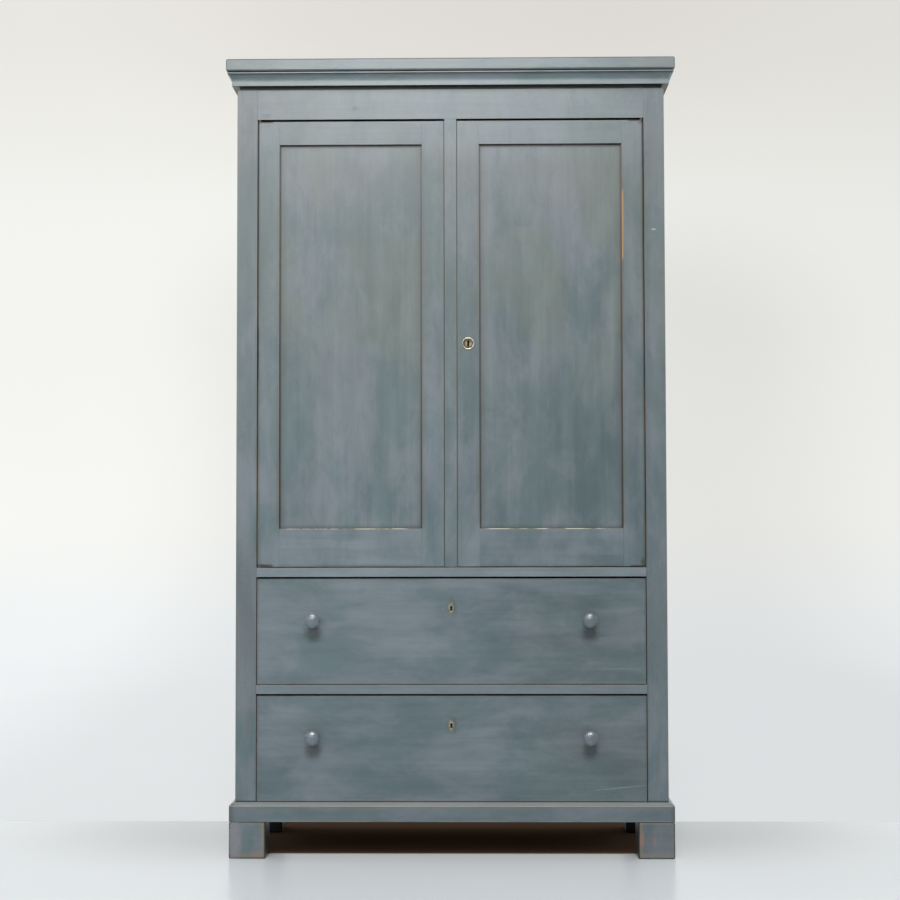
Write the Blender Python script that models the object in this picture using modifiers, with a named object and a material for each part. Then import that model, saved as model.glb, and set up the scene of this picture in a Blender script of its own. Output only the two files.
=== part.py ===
"""A painted two-door cupboard over two long drawers, built piece by piece at its real size.

Metres, +Z up. The front faces -Y. The origin is on the floor, under the middle of the whole.
"""

import math

import bmesh
import bpy
from mathutils import Matrix, Vector

# Clearances
FIT_GAP = 0.0003
RUNNING_GAP = 0.0015
OVERRUN = 0.002

# Carcass
CARCASS_WIDTH = 1.131
CARCASS_DEPTH = 0.466
FRAME_THICKNESS = 0.022
SIDE_THICKNESS = 0.020
STILE_WIDTH = 0.054
FRIEZE_HEIGHT = 0.0878
DOOR_OPENING_HEIGHT = 1.188
UPPER_OPENING_HEIGHT = 0.282
LOWER_OPENING_HEIGHT = 0.281
RAIL_HEIGHT = 0.024
RAIL_DEPTH = 0.060
FLOOR_THICKNESS = 0.020
SHELF_THICKNESS = 0.018
SHELF_SETBACK = 0.045
SHELF_COUNT = 2
HOUSING_DEPTH = 0.007
TONGUE_THICKNESS = 0.007
TONGUE_LENGTH = 0.007
TENON_THICKNESS = 0.008
TENON_LENGTH = 0.030
FRIEZE_TENON_HEIGHT = 0.080
BACK_THICKNESS = 0.010
BACK_REBATE = 0.010
BACK_BOARDS = 4
BACK_JOINT_DEPTH = 0.0025

# Centre post
POST_WIDTH = 0.032
POST_STOP_WIDTH = 0.056
POST_STOP_THICKNESS = 0.012
POST_TENON_LENGTH = 0.012
POST_TENON_WIDTH = 0.020
POST_FOOT_GAP = 0.0018
STOP_GAP = 0.0008

# Drawer runners
RUNNER_LEDGE = 0.022

# Base and feet
FOOT_HEIGHT = 0.095
FOOT_WIDTH = 0.095
FOOT_EASE = 0.003
BASE_HEIGHT = 0.049
BASE_PROJECTION = 0.0145
BASE_CHAMFER = 0.0078
BASE_NOSE = 0.0012

# Cornice
CAP_THICKNESS = 0.0322
CAP_PROJECTION = 0.0278
CAP_EASE = 0.0035
COVE_HEIGHT = 0.037
COVE_TOP_PROJECTION = 0.0245
COVE_LIP_PROJECTION = 0.0130
COVE_LIP_HEIGHT = 0.0112
COVE_TOP_FILLET = 0.003
COVE_QUIRK_HEIGHT = 0.0030
COVE_QUIRK_DEPTH = 0.008
COVE_HOLLOW = 0.0032
COVE_STEPS = 8
SHADOW_GROOVE_HEIGHT = 0.0085
SHADOW_GROOVE_DEPTH = 0.0060

# Doors
DOOR_STILE_WIDTH = 0.058
DOOR_TOP_RAIL = 0.0618
DOOR_BOTTOM_RAIL = 0.100
DOOR_TOP_GAP = 0.006
DOOR_FOOT_GAP = 0.0025
DOOR_SIDE_GAP = 0.0008
DOOR_EDGE_RADIUS = 0.005
DOOR_EDGE_STEPS = 6
DOOR_TENON_LENGTH = 0.040
DOOR_TENON_SHOULDER = 0.012
PANEL_RECESS = 0.008
PANEL_TONGUE = 0.006
PANEL_GROOVE_DEPTH = 0.010
PANEL_EDGE_GAP = 0.0008
PANEL_FIELD_MARGIN = 0.040
PANEL_FIELD_HEIGHT = 0.005

# Pivot hinges
LEAF_LENGTH = 0.040
LEAF_THICKNESS = 0.003
PIN_RADIUS = 0.0025
PIN_LENGTH = 0.010
COLLAR_RADIUS = 0.0045
PIN_STEPS = 16

# Door lock
ESCUTCHEON_RADIUS = 0.0162
ESCUTCHEON_RIM = 0.0034
ESCUTCHEON_RIM_HEIGHT = 0.0030
ESCUTCHEON_PLATE = 0.0012
ESCUTCHEON_DISH = 0.0008
ESCUTCHEON_STEPS = 40
RIM_STEPS = 6
DOOR_KEYHOLE_UP = 0.587
DOOR_KEY_HEAD_RADIUS = 0.0037
DOOR_KEY_SLOT_WIDTH = 0.0046
DOOR_KEY_FLARE_WIDTH = 0.0064
DOOR_KEY_LENGTH = 0.0172
LOCK_THICKNESS = 0.012
LOCK_DEPTH = 0.048
LOCK_HEIGHT = 0.060
BOLT_THICKNESS = 0.007
BOLT_HEIGHT = 0.018
BOLT_LENGTH = 0.026
BOLT_THROW = 0.0085
BOLT_POCKET_DEPTH = 0.037

# Turn button inside the left door
BUTTON_LENGTH = 0.064
BUTTON_WIDTH = 0.018
BUTTON_THICKNESS = 0.007
BUTTON_BOSS_RADIUS = 0.008
BUTTON_STANDOFF = 0.0012
BUTTON_SCREW_RADIUS = 0.0022
BUTTON_SCREW_LENGTH = 0.010
BUTTON_HEAD_RADIUS = 0.0055
BUTTON_HEAD_HEIGHT = 0.002
BUTTON_FROM_TOP = 0.0145
BUTTON_FROM_POST = 0.094

# Drawers
DRAWER_BACK_ROOM = 0.020
DRAWER_SIDE_THICKNESS = 0.012
DRAWER_BACK_THICKNESS = 0.012
DRAWER_TOP_GAP = 0.005
DRAWER_SIDE_DROP = 0.006
DRAWER_BOTTOM_THICKNESS = 0.008
DRAWER_BOTTOM_HEIGHT = 0.013
DRAWER_GROOVE_DEPTH = 0.006
DRAWER_EDGE_EASE = 0.0010
TAIL_LENGTH = 0.015
TAIL_COUNT = 5
TAIL_WIDE_SHARE = 0.70
TAIL_NARROW_SHARE = 0.52

# Drawer locks
DRAWER_KEY_HEAD_RADIUS = 0.0034
DRAWER_KEY_SLOT_WIDTH = 0.0046
DRAWER_KEY_FLARE_WIDTH = 0.0060
DRAWER_KEY_LENGTH = 0.0125
DRAWER_KEYHOLE_DOWN = 0.0777
DRAWER_LOCK_WIDTH = 0.060
DRAWER_LOCK_HEIGHT = 0.050
DRAWER_LOCK_THICKNESS = 0.010
BOLT_GUIDE_WIDTH = 0.020
DRAWER_KEY_POCKET = 0.006

# Knobs
KNOB_LENGTH = 0.042
KNOB_HEAD_RADIUS = 0.0204
KNOB_HEAD_DEPTH = 0.021
KNOB_NECK_RADIUS = 0.0095
KNOB_COLLAR_RADIUS = 0.0135
KNOB_COLLAR_LENGTH = 0.005
KNOB_SPIGOT_RADIUS = 0.0080
KNOB_SPIGOT_LENGTH = 0.018
KNOB_FROM_END = 0.148
KNOB_UP = 0.1668
KNOB_STEPS = 28
KNOB_HEAD_STEPS = 10
KNOB_NECK_STEPS = 4

# Eased edges
BOARD_EASE = 0.0015

# Shading
SMOOTH_ANGLE = math.radians(35)
QUARTER_TURN = math.radians(90)
HALF_TURN = math.radians(180)
FULL_TURN = math.radians(360)

# Finishes: colour, roughness, metallic
PAINT = ((0.190, 0.235, 0.262), 0.42, 0.0)
BARE_PINE = ((0.420, 0.270, 0.140), 0.62, 0.0)
IRON = ((0.060, 0.055, 0.050), 0.55, 0.9)
BRASS = ((0.560, 0.450, 0.270), 0.38, 0.9)

# Levels above the floor
BASE_TOP = FOOT_HEIGHT + BASE_HEIGHT
LOWER_RAIL_BOTTOM = BASE_TOP + LOWER_OPENING_HEIGHT
LOWER_RAIL_TOP = LOWER_RAIL_BOTTOM + RAIL_HEIGHT
UPPER_RAIL_BOTTOM = LOWER_RAIL_TOP + UPPER_OPENING_HEIGHT
UPPER_RAIL_TOP = UPPER_RAIL_BOTTOM + RAIL_HEIGHT
FRIEZE_BOTTOM = UPPER_RAIL_TOP + DOOR_OPENING_HEIGHT
CORNICE_BOTTOM = FRIEZE_BOTTOM + FRIEZE_HEIGHT
CAP_BOTTOM = CORNICE_BOTTOM + COVE_HEIGHT
DOOR_BOTTOM = UPPER_RAIL_TOP + DOOR_FOOT_GAP
DOOR_TOP = FRIEZE_BOTTOM - DOOR_TOP_GAP
DOOR_KEYHOLE_HEIGHT = DOOR_BOTTOM + DOOR_KEYHOLE_UP

# Places across the width
CARCASS_HALF = CARCASS_WIDTH / 2
OPENING_HALF = CARCASS_HALF - STILE_WIDTH
SIDE_INNER = CARCASS_HALF - SIDE_THICKNESS
HOUSED_HALF = SIDE_INNER + HOUSING_DEPTH - FIT_GAP
DOOR_OUTER = OPENING_HALF - DOOR_SIDE_GAP
DOOR_INNER = POST_WIDTH / 2 + RUNNING_GAP
PIVOT_X = DOOR_OUTER - DOOR_EDGE_RADIUS
DRAWER_HALF = OPENING_HALF - RUNNING_GAP
KNOB_X = DRAWER_HALF - KNOB_FROM_END

# Places through the depth
FRONT = (max(KNOB_LENGTH, CAP_PROJECTION) - CARCASS_DEPTH) / 2
BACK = FRONT + CARCASS_DEPTH
FRAME_BACK = FRONT + FRAME_THICKNESS
PANEL_FRONT = BACK - BACK_THICKNESS
PIVOT_Y = FRONT + DOOR_EDGE_RADIUS
TENON_FRONT = FRONT + (FRAME_THICKNESS - TENON_THICKNESS) / 2
TENON_BACK = TENON_FRONT + TENON_THICKNESS

SIDES = {"left": -1, "right": 1}


def clear_scene():
    for obj in list(bpy.data.objects):
        bpy.data.objects.remove(obj, do_unlink=True)


def new_collection(name):
    collection = bpy.data.collections.new(name)
    bpy.context.scene.collection.children.link(collection)
    return collection


def new_material(name, finish):
    colour, roughness, metallic = finish
    material = bpy.data.materials.new(name + "_finish")
    material.use_nodes = True
    shader = material.node_tree.nodes["Principled BSDF"]
    shader.inputs["Base Color"].default_value = (*colour, 1.0)
    shader.inputs["Roughness"].default_value = roughness
    shader.inputs["Metallic"].default_value = metallic
    material.diffuse_color = (*colour, 1.0)
    return material


# Shapes: each returns a function that adds the shape to a mesh, in world places


def box(low, high):
    low, high = Vector(low), Vector(high)
    size = high - low
    matrix = Matrix.Translation((low + high) / 2) @ Matrix.Diagonal((*size, 1.0))

    def add(mesh):
        bmesh.ops.create_cube(mesh, size=1.0, matrix=matrix)

    return add


def prism(outline, axis, start, end):
    """An outline run along an axis. Its points are the two other coordinates, in the order X, Y, Z."""

    def place(point):
        values = list(point)
        values.insert("XYZ".index(axis), start)
        return values

    run = [0.0, 0.0, 0.0]
    run["XYZ".index(axis)] = end - start

    def add(mesh):
        corners = [mesh.verts.new(place(point)) for point in outline]
        face = mesh.faces.new(corners)
        grown = bmesh.ops.extrude_face_region(mesh, geom=[face])
        moved = [item for item in grown["geom"] if isinstance(item, bmesh.types.BMVert)]
        bmesh.ops.translate(mesh, vec=run, verts=moved)

    return add


def rod(centre, radius, axis, start, end, steps=PIN_STEPS):
    """A cylinder along an axis, centred on the two other coordinates."""
    place = list(centre)
    place.insert("XYZ".index(axis), (start + end) / 2)
    turn = {
        "X": Matrix.Rotation(QUARTER_TURN, 4, "Y"),
        "Y": Matrix.Rotation(QUARTER_TURN, 4, "X"),
        "Z": Matrix.Identity(4),
    }[axis]
    matrix = Matrix.Translation(place) @ turn

    def add(mesh):
        bmesh.ops.create_cone(
            mesh,
            cap_ends=True,
            segments=steps,
            radius1=radius,
            radius2=radius,
            depth=abs(end - start),
            matrix=matrix,
        )

    return add


def arc(centre, radius, start, end, steps):
    """Points along an arc, both ends included."""
    turns = [start + (end - start) * step / steps for step in range(steps + 1)]
    return [(centre[0] + radius * math.cos(t), centre[1] + radius * math.sin(t)) for t in turns]


# Objects

PARTS = None
CUTTERS = None


def mesh_of(name, shapes, anchor):
    """A mesh that holds the shapes, with its origin at the anchor."""
    mesh = bmesh.new()
    for add in shapes:
        add(mesh)
    bmesh.ops.recalc_face_normals(mesh, faces=mesh.faces)
    bmesh.ops.translate(mesh, vec=-anchor, verts=mesh.verts)
    data = bpy.data.meshes.new(name)
    mesh.to_mesh(data)
    mesh.free()
    return data


def middle_of(shape):
    """The middle of a shape's box."""
    mesh = bmesh.new()
    shape(mesh)
    places = [vert.co.copy() for vert in mesh.verts]
    mesh.free()
    low = Vector(min(place[i] for place in places) for i in range(3))
    high = Vector(max(place[i] for place in places) for i in range(3))
    return (low + high) / 2


def add_helper(owner, name, shapes, anchor, operation):
    """A hidden mesh that is cut from its owner, or joined to it."""
    data = mesh_of(name, shapes, anchor)
    helper = bpy.data.objects.new(name, data)
    helper.location = owner.location
    helper.parent = owner.parent
    helper.hide_render = True
    helper.display_type = "WIRE"
    CUTTERS.objects.link(helper)
    modifier = owner.modifiers.new(name, "BOOLEAN")
    modifier.operation = operation
    modifier.solver = "EXACT"
    modifier.object = helper


def piece(name, shape, finish, carrier=None, ease=0.0, joined=(), cuts=()):
    """A named sub-part. joined and cuts are groups of shapes that don't touch within a group."""
    anchor = middle_of(shape)
    obj = bpy.data.objects.new(name, mesh_of(name, [shape], anchor))
    obj.data.materials.append(new_material(name, finish))
    obj.location = anchor
    if carrier:
        obj.parent = carrier
        obj.location = anchor - carrier.location
    PARTS.objects.link(obj)
    if ease:
        bevel = obj.modifiers.new("eased_edges", "BEVEL")
        bevel.width = ease
        bevel.segments = 1
        bevel.limit_method = "ANGLE"
        bevel.angle_limit = SMOOTH_ANGLE
    for number, group in enumerate(joined):
        add_helper(obj, f"{name}_joined_{number}", group, anchor, "UNION")
    for number, group in enumerate(cuts):
        add_helper(obj, f"{name}_cut_{number}", group, anchor, "DIFFERENCE")
    return obj


def smooth(obj):
    obj.data.shade_smooth()
    obj.data.set_sharp_from_angle(angle=SMOOTH_ANGLE)


def empty(name, place):
    """An empty on a joint, which carries the pieces that move there."""
    obj = bpy.data.objects.new(name, None)
    obj.location = place
    PARTS.objects.link(obj)
    return obj


def turned(name, profile, centre, toward, finish, carrier, steps, cuts=()):
    """A turned piece: a profile of radius and distance, top first, about an axis along Y or Z."""
    data = bpy.data.meshes.new(name)
    points = [(radius, 0.0, height) for radius, height in profile]
    data.from_pydata(points, [(i, i + 1) for i in range(len(points) - 1)], [])
    obj = bpy.data.objects.new(name, data)
    obj.data.materials.append(new_material(name, finish))
    obj.parent = carrier
    obj.location = Vector(centre) - carrier.location
    obj.rotation_euler = toward
    PARTS.objects.link(obj)
    screw = obj.modifiers.new("turned", "SCREW")
    screw.axis = "Z"
    screw.steps = steps
    screw.render_steps = steps
    screw.use_merge_vertices = True
    screw.merge_threshold = 0.0001
    screw.use_smooth_shade = True
    for number, group in enumerate(cuts):
        data = mesh_of(f"{name}_cut_{number}", group, Vector(centre))
        helper = bpy.data.objects.new(f"{name}_cut_{number}", data)
        helper.parent = carrier
        helper.location = obj.location
        helper.hide_render = True
        helper.display_type = "WIRE"
        CUTTERS.objects.link(helper)
        modifier = obj.modifiers.new(helper.name, "BOOLEAN")
        modifier.operation = "DIFFERENCE"
        modifier.solver = "EXACT"
        modifier.object = helper
    return obj


def span(side, near, far):
    """Low and high X of a stretch between two distances from the middle, on one side."""
    return (min(side * near, side * far), max(side * near, side * far))


# Carcass


def notched_outline(depth, front):
    """A board that fills the opening between the stiles and, behind them, runs into both sides."""
    inner = OPENING_HALF - FIT_GAP
    shoulder = FRAME_BACK + FIT_GAP
    right = [(inner, front), (inner, shoulder), (HOUSED_HALF, shoulder), (HOUSED_HALF, depth)]
    left = [(-x, y) for x, y in reversed(right)]
    return right + left


def shelf_levels():
    """The underside of each shelf: they share the height of the cupboard equally."""
    bay = (CAP_BOTTOM - UPPER_RAIL_TOP - SHELF_COUNT * SHELF_THICKNESS) / (SHELF_COUNT + 1)
    return [UPPER_RAIL_TOP + bay + number * (bay + SHELF_THICKNESS) for number in range(SHELF_COUNT)]


def housing(side, front, bottom, top):
    """The groove in a side that takes the end of a board."""
    low_x, high_x = span(side, SIDE_INNER - OVERRUN, SIDE_INNER + HOUSING_DEPTH)
    low = (low_x, front - FIT_GAP, bottom - FIT_GAP)
    return box(low, (high_x, PANEL_FRONT + OVERRUN, top + FIT_GAP))


def stopped_housing(side, bottom, top):
    """The groove for a rail: it stops at the rail's back edge."""
    low_x, high_x = span(side, SIDE_INNER - OVERRUN, SIDE_INNER + HOUSING_DEPTH)
    low = (low_x, FRAME_BACK - OVERRUN, bottom - FIT_GAP)
    return box(low, (high_x, FRONT + RAIL_DEPTH + FIT_GAP, top + FIT_GAP))


def build_sides():
    tongue_inset = (SIDE_THICKNESS - TONGUE_THICKNESS) / 2
    front = FRAME_BACK + FIT_GAP
    for word, side in SIDES.items():
        low_x, high_x = span(side, SIDE_INNER, CARCASS_HALF)
        low = (low_x, front, FOOT_HEIGHT + FIT_GAP)
        high = (high_x, BACK, CAP_BOTTOM - FIT_GAP)
        tongue = box(
            (low_x + tongue_inset, FRAME_BACK - TONGUE_LENGTH, low[2]),
            (high_x - tongue_inset, front + OVERRUN, high[2]),
        )
        rebate_x = span(side, SIDE_INNER - OVERRUN, SIDE_INNER + BACK_REBATE)
        rebate = box(
            (rebate_x[0], PANEL_FRONT - FIT_GAP, low[2] - OVERRUN),
            (rebate_x[1], BACK + OVERRUN, high[2] + OVERRUN),
        )
        rails = [
            stopped_housing(side, LOWER_RAIL_BOTTOM, LOWER_RAIL_TOP),
            stopped_housing(side, UPPER_RAIL_BOTTOM, UPPER_RAIL_TOP),
        ]
        boards = [
            housing(side, FRAME_BACK, BASE_TOP - FLOOR_THICKNESS, BASE_TOP),
            housing(side, FRONT + RAIL_DEPTH, UPPER_RAIL_TOP - FLOOR_THICKNESS, UPPER_RAIL_TOP),
        ]
        for level in shelf_levels():
            boards.append(housing(side, FRONT + SHELF_SETBACK, level, level + SHELF_THICKNESS))
        shadow = side_shadow_groove(side, FRAME_BACK - TONGUE_LENGTH, BACK + OVERRUN)
        piece(
            f"side_{word}",
            box(low, high),
            PAINT,
            joined=[[tongue]],
            cuts=[[rebate], rails, boards, [shadow]],
        )


def build_stiles():
    for word, side in SIDES.items():
        low_x, high_x = span(side, OPENING_HALF, CARCASS_HALF)
        low = (low_x, FRONT, FOOT_HEIGHT + FIT_GAP)
        high = (high_x, FRAME_BACK, CAP_BOTTOM - FIT_GAP)
        tongue_inset = (SIDE_THICKNESS - TONGUE_THICKNESS) / 2
        groove_x = span(side, SIDE_INNER + tongue_inset - FIT_GAP, CARCASS_HALF - tongue_inset + FIT_GAP)
        groove = box(
            (groove_x[0], FRAME_BACK - TONGUE_LENGTH - FIT_GAP, low[2] - OVERRUN),
            (groove_x[1], FRAME_BACK + OVERRUN, high[2] + OVERRUN),
        )
        mortise_x = span(side, OPENING_HALF - OVERRUN, OPENING_HALF + TENON_LENGTH + FIT_GAP)
        mortise = box(
            (mortise_x[0], TENON_FRONT - FIT_GAP, frieze_tenon_bottom() - FIT_GAP),
            (mortise_x[1], TENON_BACK + FIT_GAP, frieze_tenon_bottom() + FRIEZE_TENON_HEIGHT + FIT_GAP),
        )
        front_groove = shadow_groove(
            low_x - OVERRUN, high_x + OVERRUN, FRONT - OVERRUN, FRONT + SHADOW_GROOVE_DEPTH
        )
        side_groove = side_shadow_groove(side, FRONT - OVERRUN, FRAME_BACK + OVERRUN)
        piece(
            f"stile_{word}",
            box(low, high),
            PAINT,
            cuts=[[groove], [mortise], [front_groove], [side_groove]],
        )


def shadow_groove(low_x, high_x, low_y, high_y):
    """The dark groove that runs round the carcass just under the cornice."""
    top = CORNICE_BOTTOM
    return box((low_x, low_y, top - SHADOW_GROOVE_HEIGHT), (high_x, high_y, top))


def side_shadow_groove(side, low_y, high_y):
    low_x, high_x = span(side, CARCASS_HALF - SHADOW_GROOVE_DEPTH, CARCASS_HALF + OVERRUN)
    return shadow_groove(low_x, high_x, low_y, high_y)


def frieze_tenon_bottom():
    """The frieze rail's tenon is centred on the rail's height."""
    return (FRIEZE_BOTTOM + CAP_BOTTOM - FRIEZE_TENON_HEIGHT) / 2


def post_tenon(bottom, top):
    half = POST_TENON_WIDTH / 2
    return box((-half, TENON_FRONT, bottom), (half, TENON_BACK, top))


def post_mortise(bottom, top):
    half = POST_TENON_WIDTH / 2 + FIT_GAP
    return box((-half, TENON_FRONT - FIT_GAP, bottom), (half, TENON_BACK + FIT_GAP, top))


def pivot_bores(bottom, top):
    radius = PIN_RADIUS + FIT_GAP
    return [rod((side * PIVOT_X, PIVOT_Y), radius, "Z", bottom, top) for side in SIDES.values()]


def build_frieze_rail():
    inner = OPENING_HALF - FIT_GAP
    top = CAP_BOTTOM - FIT_GAP
    tenon_bottom = frieze_tenon_bottom()
    tenons = []
    for side in SIDES.values():
        low_x, high_x = span(side, inner - OVERRUN, OPENING_HALF + TENON_LENGTH)
        tenons.append(
            box((low_x, TENON_FRONT, tenon_bottom), (high_x, TENON_BACK, tenon_bottom + FRIEZE_TENON_HEIGHT))
        )
    mortise = post_mortise(FRIEZE_BOTTOM - OVERRUN, FRIEZE_BOTTOM + POST_TENON_LENGTH + FIT_GAP)
    bores = pivot_bores(FRIEZE_BOTTOM - OVERRUN, FRIEZE_BOTTOM + PIN_LENGTH)
    piece(
        "frieze_rail",
        box((-inner, FRONT, FRIEZE_BOTTOM), (inner, FRAME_BACK, top)),
        PAINT,
        joined=[tenons],
        cuts=[
            [mortise] + bores,
            [shadow_groove(-inner - OVERRUN, inner + OVERRUN, FRONT - OVERRUN, FRONT + SHADOW_GROOVE_DEPTH)],
        ],
    )


def build_centre_post():
    half = POST_WIDTH / 2
    stop = POST_STOP_WIDTH / 2
    stop_front = FRAME_BACK + STOP_GAP
    stop_back = stop_front + POST_STOP_THICKNESS
    right = [(half, FRONT), (half, stop_front), (stop, stop_front), (stop, stop_back)]
    outline = right + [(-x, y) for x, y in reversed(right)]
    bottom = UPPER_RAIL_TOP + POST_FOOT_GAP
    top = FRIEZE_BOTTOM - FIT_GAP
    tenons = [
        post_tenon(UPPER_RAIL_TOP - POST_TENON_LENGTH, bottom + OVERRUN),
        post_tenon(top - OVERRUN, FRIEZE_BOTTOM + POST_TENON_LENGTH),
    ]
    strike_height = BOLT_HEIGHT / 2 + RUNNING_GAP
    strike = box(
        (DOOR_INNER - BOLT_THROW - RUNNING_GAP, bolt_front() - FIT_GAP, DOOR_KEYHOLE_HEIGHT - strike_height),
        (half + OVERRUN, bolt_front() + BOLT_THICKNESS + FIT_GAP, DOOR_KEYHOLE_HEIGHT + strike_height),
    )
    piece("centre_post", prism(outline, "Z", bottom, top), PAINT, joined=[tenons], cuts=[[strike]])


def build_drawer_rails():
    outline = notched_outline(FRONT + RAIL_DEPTH, FRONT)
    piece("drawer_rail_lower", prism(outline, "Z", LOWER_RAIL_BOTTOM, LOWER_RAIL_TOP), PAINT)
    mortise = post_mortise(UPPER_RAIL_TOP - POST_TENON_LENGTH - FIT_GAP, UPPER_RAIL_TOP + OVERRUN)
    bores = pivot_bores(UPPER_RAIL_TOP - PIN_LENGTH, UPPER_RAIL_TOP + OVERRUN)
    piece(
        "drawer_rail_upper",
        prism(outline, "Z", UPPER_RAIL_BOTTOM, UPPER_RAIL_TOP),
        PAINT,
        cuts=[[mortise] + bores],
    )


def build_boards():
    board_back = PANEL_FRONT - 2 * FIT_GAP
    piece(
        "bottom_board",
        prism(notched_outline(board_back, FRONT), "Z", BASE_TOP - FLOOR_THICKNESS, BASE_TOP),
        BARE_PINE,
    )
    piece(
        "cupboard_floor",
        box(
            (-HOUSED_HALF, FRONT + RAIL_DEPTH + FIT_GAP, UPPER_RAIL_TOP - FLOOR_THICKNESS),
            (HOUSED_HALF, board_back, UPPER_RAIL_TOP),
        ),
        BARE_PINE,
    )
    words = ["lower", "upper"] + [f"extra_{number}" for number in range(SHELF_COUNT)]
    for word, level in zip(words, shelf_levels()):
        piece(
            f"shelf_{word}",
            box(
                (-HOUSED_HALF, FRONT + SHELF_SETBACK, level),
                (HOUSED_HALF, board_back, level + SHELF_THICKNESS),
            ),
            BARE_PINE,
        )


def build_runners():
    """A guide board fills the space beside the drawers, and its ledge is the upper drawer's runner."""
    inner = OPENING_HALF + FIT_GAP
    ledge = OPENING_HALF - RUNNER_LEDGE
    outer = SIDE_INNER - FIT_GAP
    bottom = BASE_TOP + FIT_GAP
    top = UPPER_RAIL_TOP - FLOOR_THICKNESS - FIT_GAP
    right = [
        (outer, bottom),
        (outer, top),
        (inner, top),
        (inner, LOWER_RAIL_TOP),
        (ledge, LOWER_RAIL_TOP),
        (ledge, LOWER_RAIL_BOTTOM),
        (inner, LOWER_RAIL_BOTTOM),
        (inner, bottom),
    ]
    for word, side in SIDES.items():
        outline = [(side * x, z) for x, z in right]
        piece(
            f"drawer_runner_{word}",
            prism(outline, "Y", FRONT + RAIL_DEPTH + FIT_GAP, PANEL_FRONT - 2 * FIT_GAP),
            BARE_PINE,
        )


def build_back_panel():
    """Boards glued edge to edge, with a V joint between them on both faces."""
    half = SIDE_INNER + BACK_REBATE - FIT_GAP
    joints = [half * (2 * number / BACK_BOARDS - 1) for number in range(1, BACK_BOARDS)]
    inside = [(-half, PANEL_FRONT)]
    for x in joints:
        inside.append((x - BACK_JOINT_DEPTH, PANEL_FRONT))
        inside.append((x, PANEL_FRONT + BACK_JOINT_DEPTH))
        inside.append((x + BACK_JOINT_DEPTH, PANEL_FRONT))
    inside.append((half, PANEL_FRONT))
    outside = [(x, PANEL_FRONT + BACK - y) for x, y in reversed(inside)]
    piece(
        "back_panel",
        prism(inside + outside, "Z", FOOT_HEIGHT + FIT_GAP, CAP_BOTTOM - FIT_GAP),
        BARE_PINE,
    )


# Base, feet and cornice


def moulding(name, section, side):
    """A mitred moulding round the front and the sides. The section holds projection and height.

    side is 0 for the front, -1 for the left return and +1 for the right return.
    """

    def near(out, height):
        if side:
            return (side * (CARCASS_HALF + out), FRONT - out + FIT_GAP, height)
        return (-(CARCASS_HALF + out) + FIT_GAP, FRONT - out, height)

    def far(out, height):
        if side:
            return (side * (CARCASS_HALF + out), BACK, height)
        return (CARCASS_HALF + out - FIT_GAP, FRONT - out, height)

    def add(mesh):
        corners = [mesh.verts.new(near(*point)) for point in section]
        face = mesh.faces.new(corners)
        grown = bmesh.ops.extrude_face_region(mesh, geom=[face])
        moved = [item for item in grown["geom"] if isinstance(item, bmesh.types.BMVert)]
        ends = {near(*point): far(*point) for point in section}
        for start, end in ends.items():
            for vert in moved:
                if (vert.co - Vector(start)).length < FIT_GAP / 2:
                    vert.co = end
                    moved.remove(vert)
                    break

    return piece(name, add, PAINT)


def base_section():
    inner = FIT_GAP
    out = BASE_PROJECTION
    shoulder = BASE_TOP - BASE_CHAMFER
    return [
        (inner, FOOT_HEIGHT + FIT_GAP),
        (out, FOOT_HEIGHT + FIT_GAP),
        (out, shoulder - BASE_NOSE),
        (out - BASE_NOSE / 2, shoulder + BASE_NOSE / 2),
        (inner + BASE_NOSE, BASE_TOP),
        (inner, BASE_TOP),
    ]


def cove_section():
    """An upright lip, a shallow hollow that leans out over it, a fillet, and a quirk under the cap."""
    lip_top = CORNICE_BOTTOM + COVE_LIP_HEIGHT
    quirk = CAP_BOTTOM - COVE_QUIRK_HEIGHT
    reach = COVE_TOP_PROJECTION - COVE_LIP_PROJECTION
    rise = quirk - COVE_TOP_FILLET - lip_top
    chord = math.hypot(reach, rise)
    hollow = []
    for step in range(COVE_STEPS + 1):
        share = step / COVE_STEPS
        sag = COVE_HOLLOW * 4 * share * (1 - share)
        out = COVE_LIP_PROJECTION + reach * share - sag * rise / chord
        hollow.append((out, lip_top + rise * share + sag * reach / chord))
    quirk_out = COVE_TOP_PROJECTION - COVE_QUIRK_DEPTH
    return (
        [(FIT_GAP, CORNICE_BOTTOM), (COVE_LIP_PROJECTION, CORNICE_BOTTOM)]
        + hollow
        + [
            (COVE_TOP_PROJECTION, quirk),
            (quirk_out, quirk),
            (quirk_out, CAP_BOTTOM - FIT_GAP),
            (FIT_GAP, CAP_BOTTOM - FIT_GAP),
        ]
    )


def build_mouldings():
    for place, side in (("front", 0), ("left", -1), ("right", 1)):
        moulding(f"base_moulding_{place}", base_section(), side)
        smooth(moulding(f"cornice_cove_{place}", cove_section(), side))


def build_cap():
    half = CARCASS_HALF + CAP_PROJECTION
    piece(
        "cornice_cap",
        box((-half, FRONT - CAP_PROJECTION, CAP_BOTTOM), (half, BACK, CAP_BOTTOM + CAP_THICKNESS)),
        PAINT,
        ease=CAP_EASE,
    )


def build_feet():
    outer = CARCASS_HALF + BASE_PROJECTION
    places = {"front": (FRONT - BASE_PROJECTION, 1), "rear": (BACK, -1)}
    for word, side in SIDES.items():
        low_x, high_x = span(side, outer - FOOT_WIDTH, outer)
        for place, (edge, inward) in places.items():
            low_y, high_y = sorted((edge, edge + inward * FOOT_WIDTH))
            piece(
                f"foot_{place}_{word}",
                box((low_x, low_y, 0.0), (high_x, high_y, FOOT_HEIGHT)),
                PAINT,
                ease=FOOT_EASE,
            )


# Doors


def door_frame_piece(name, low, high, carrier, joined=(), cuts=()):
    return piece(name, box(low, high), PAINT, carrier, joined=joined, cuts=cuts)


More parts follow.
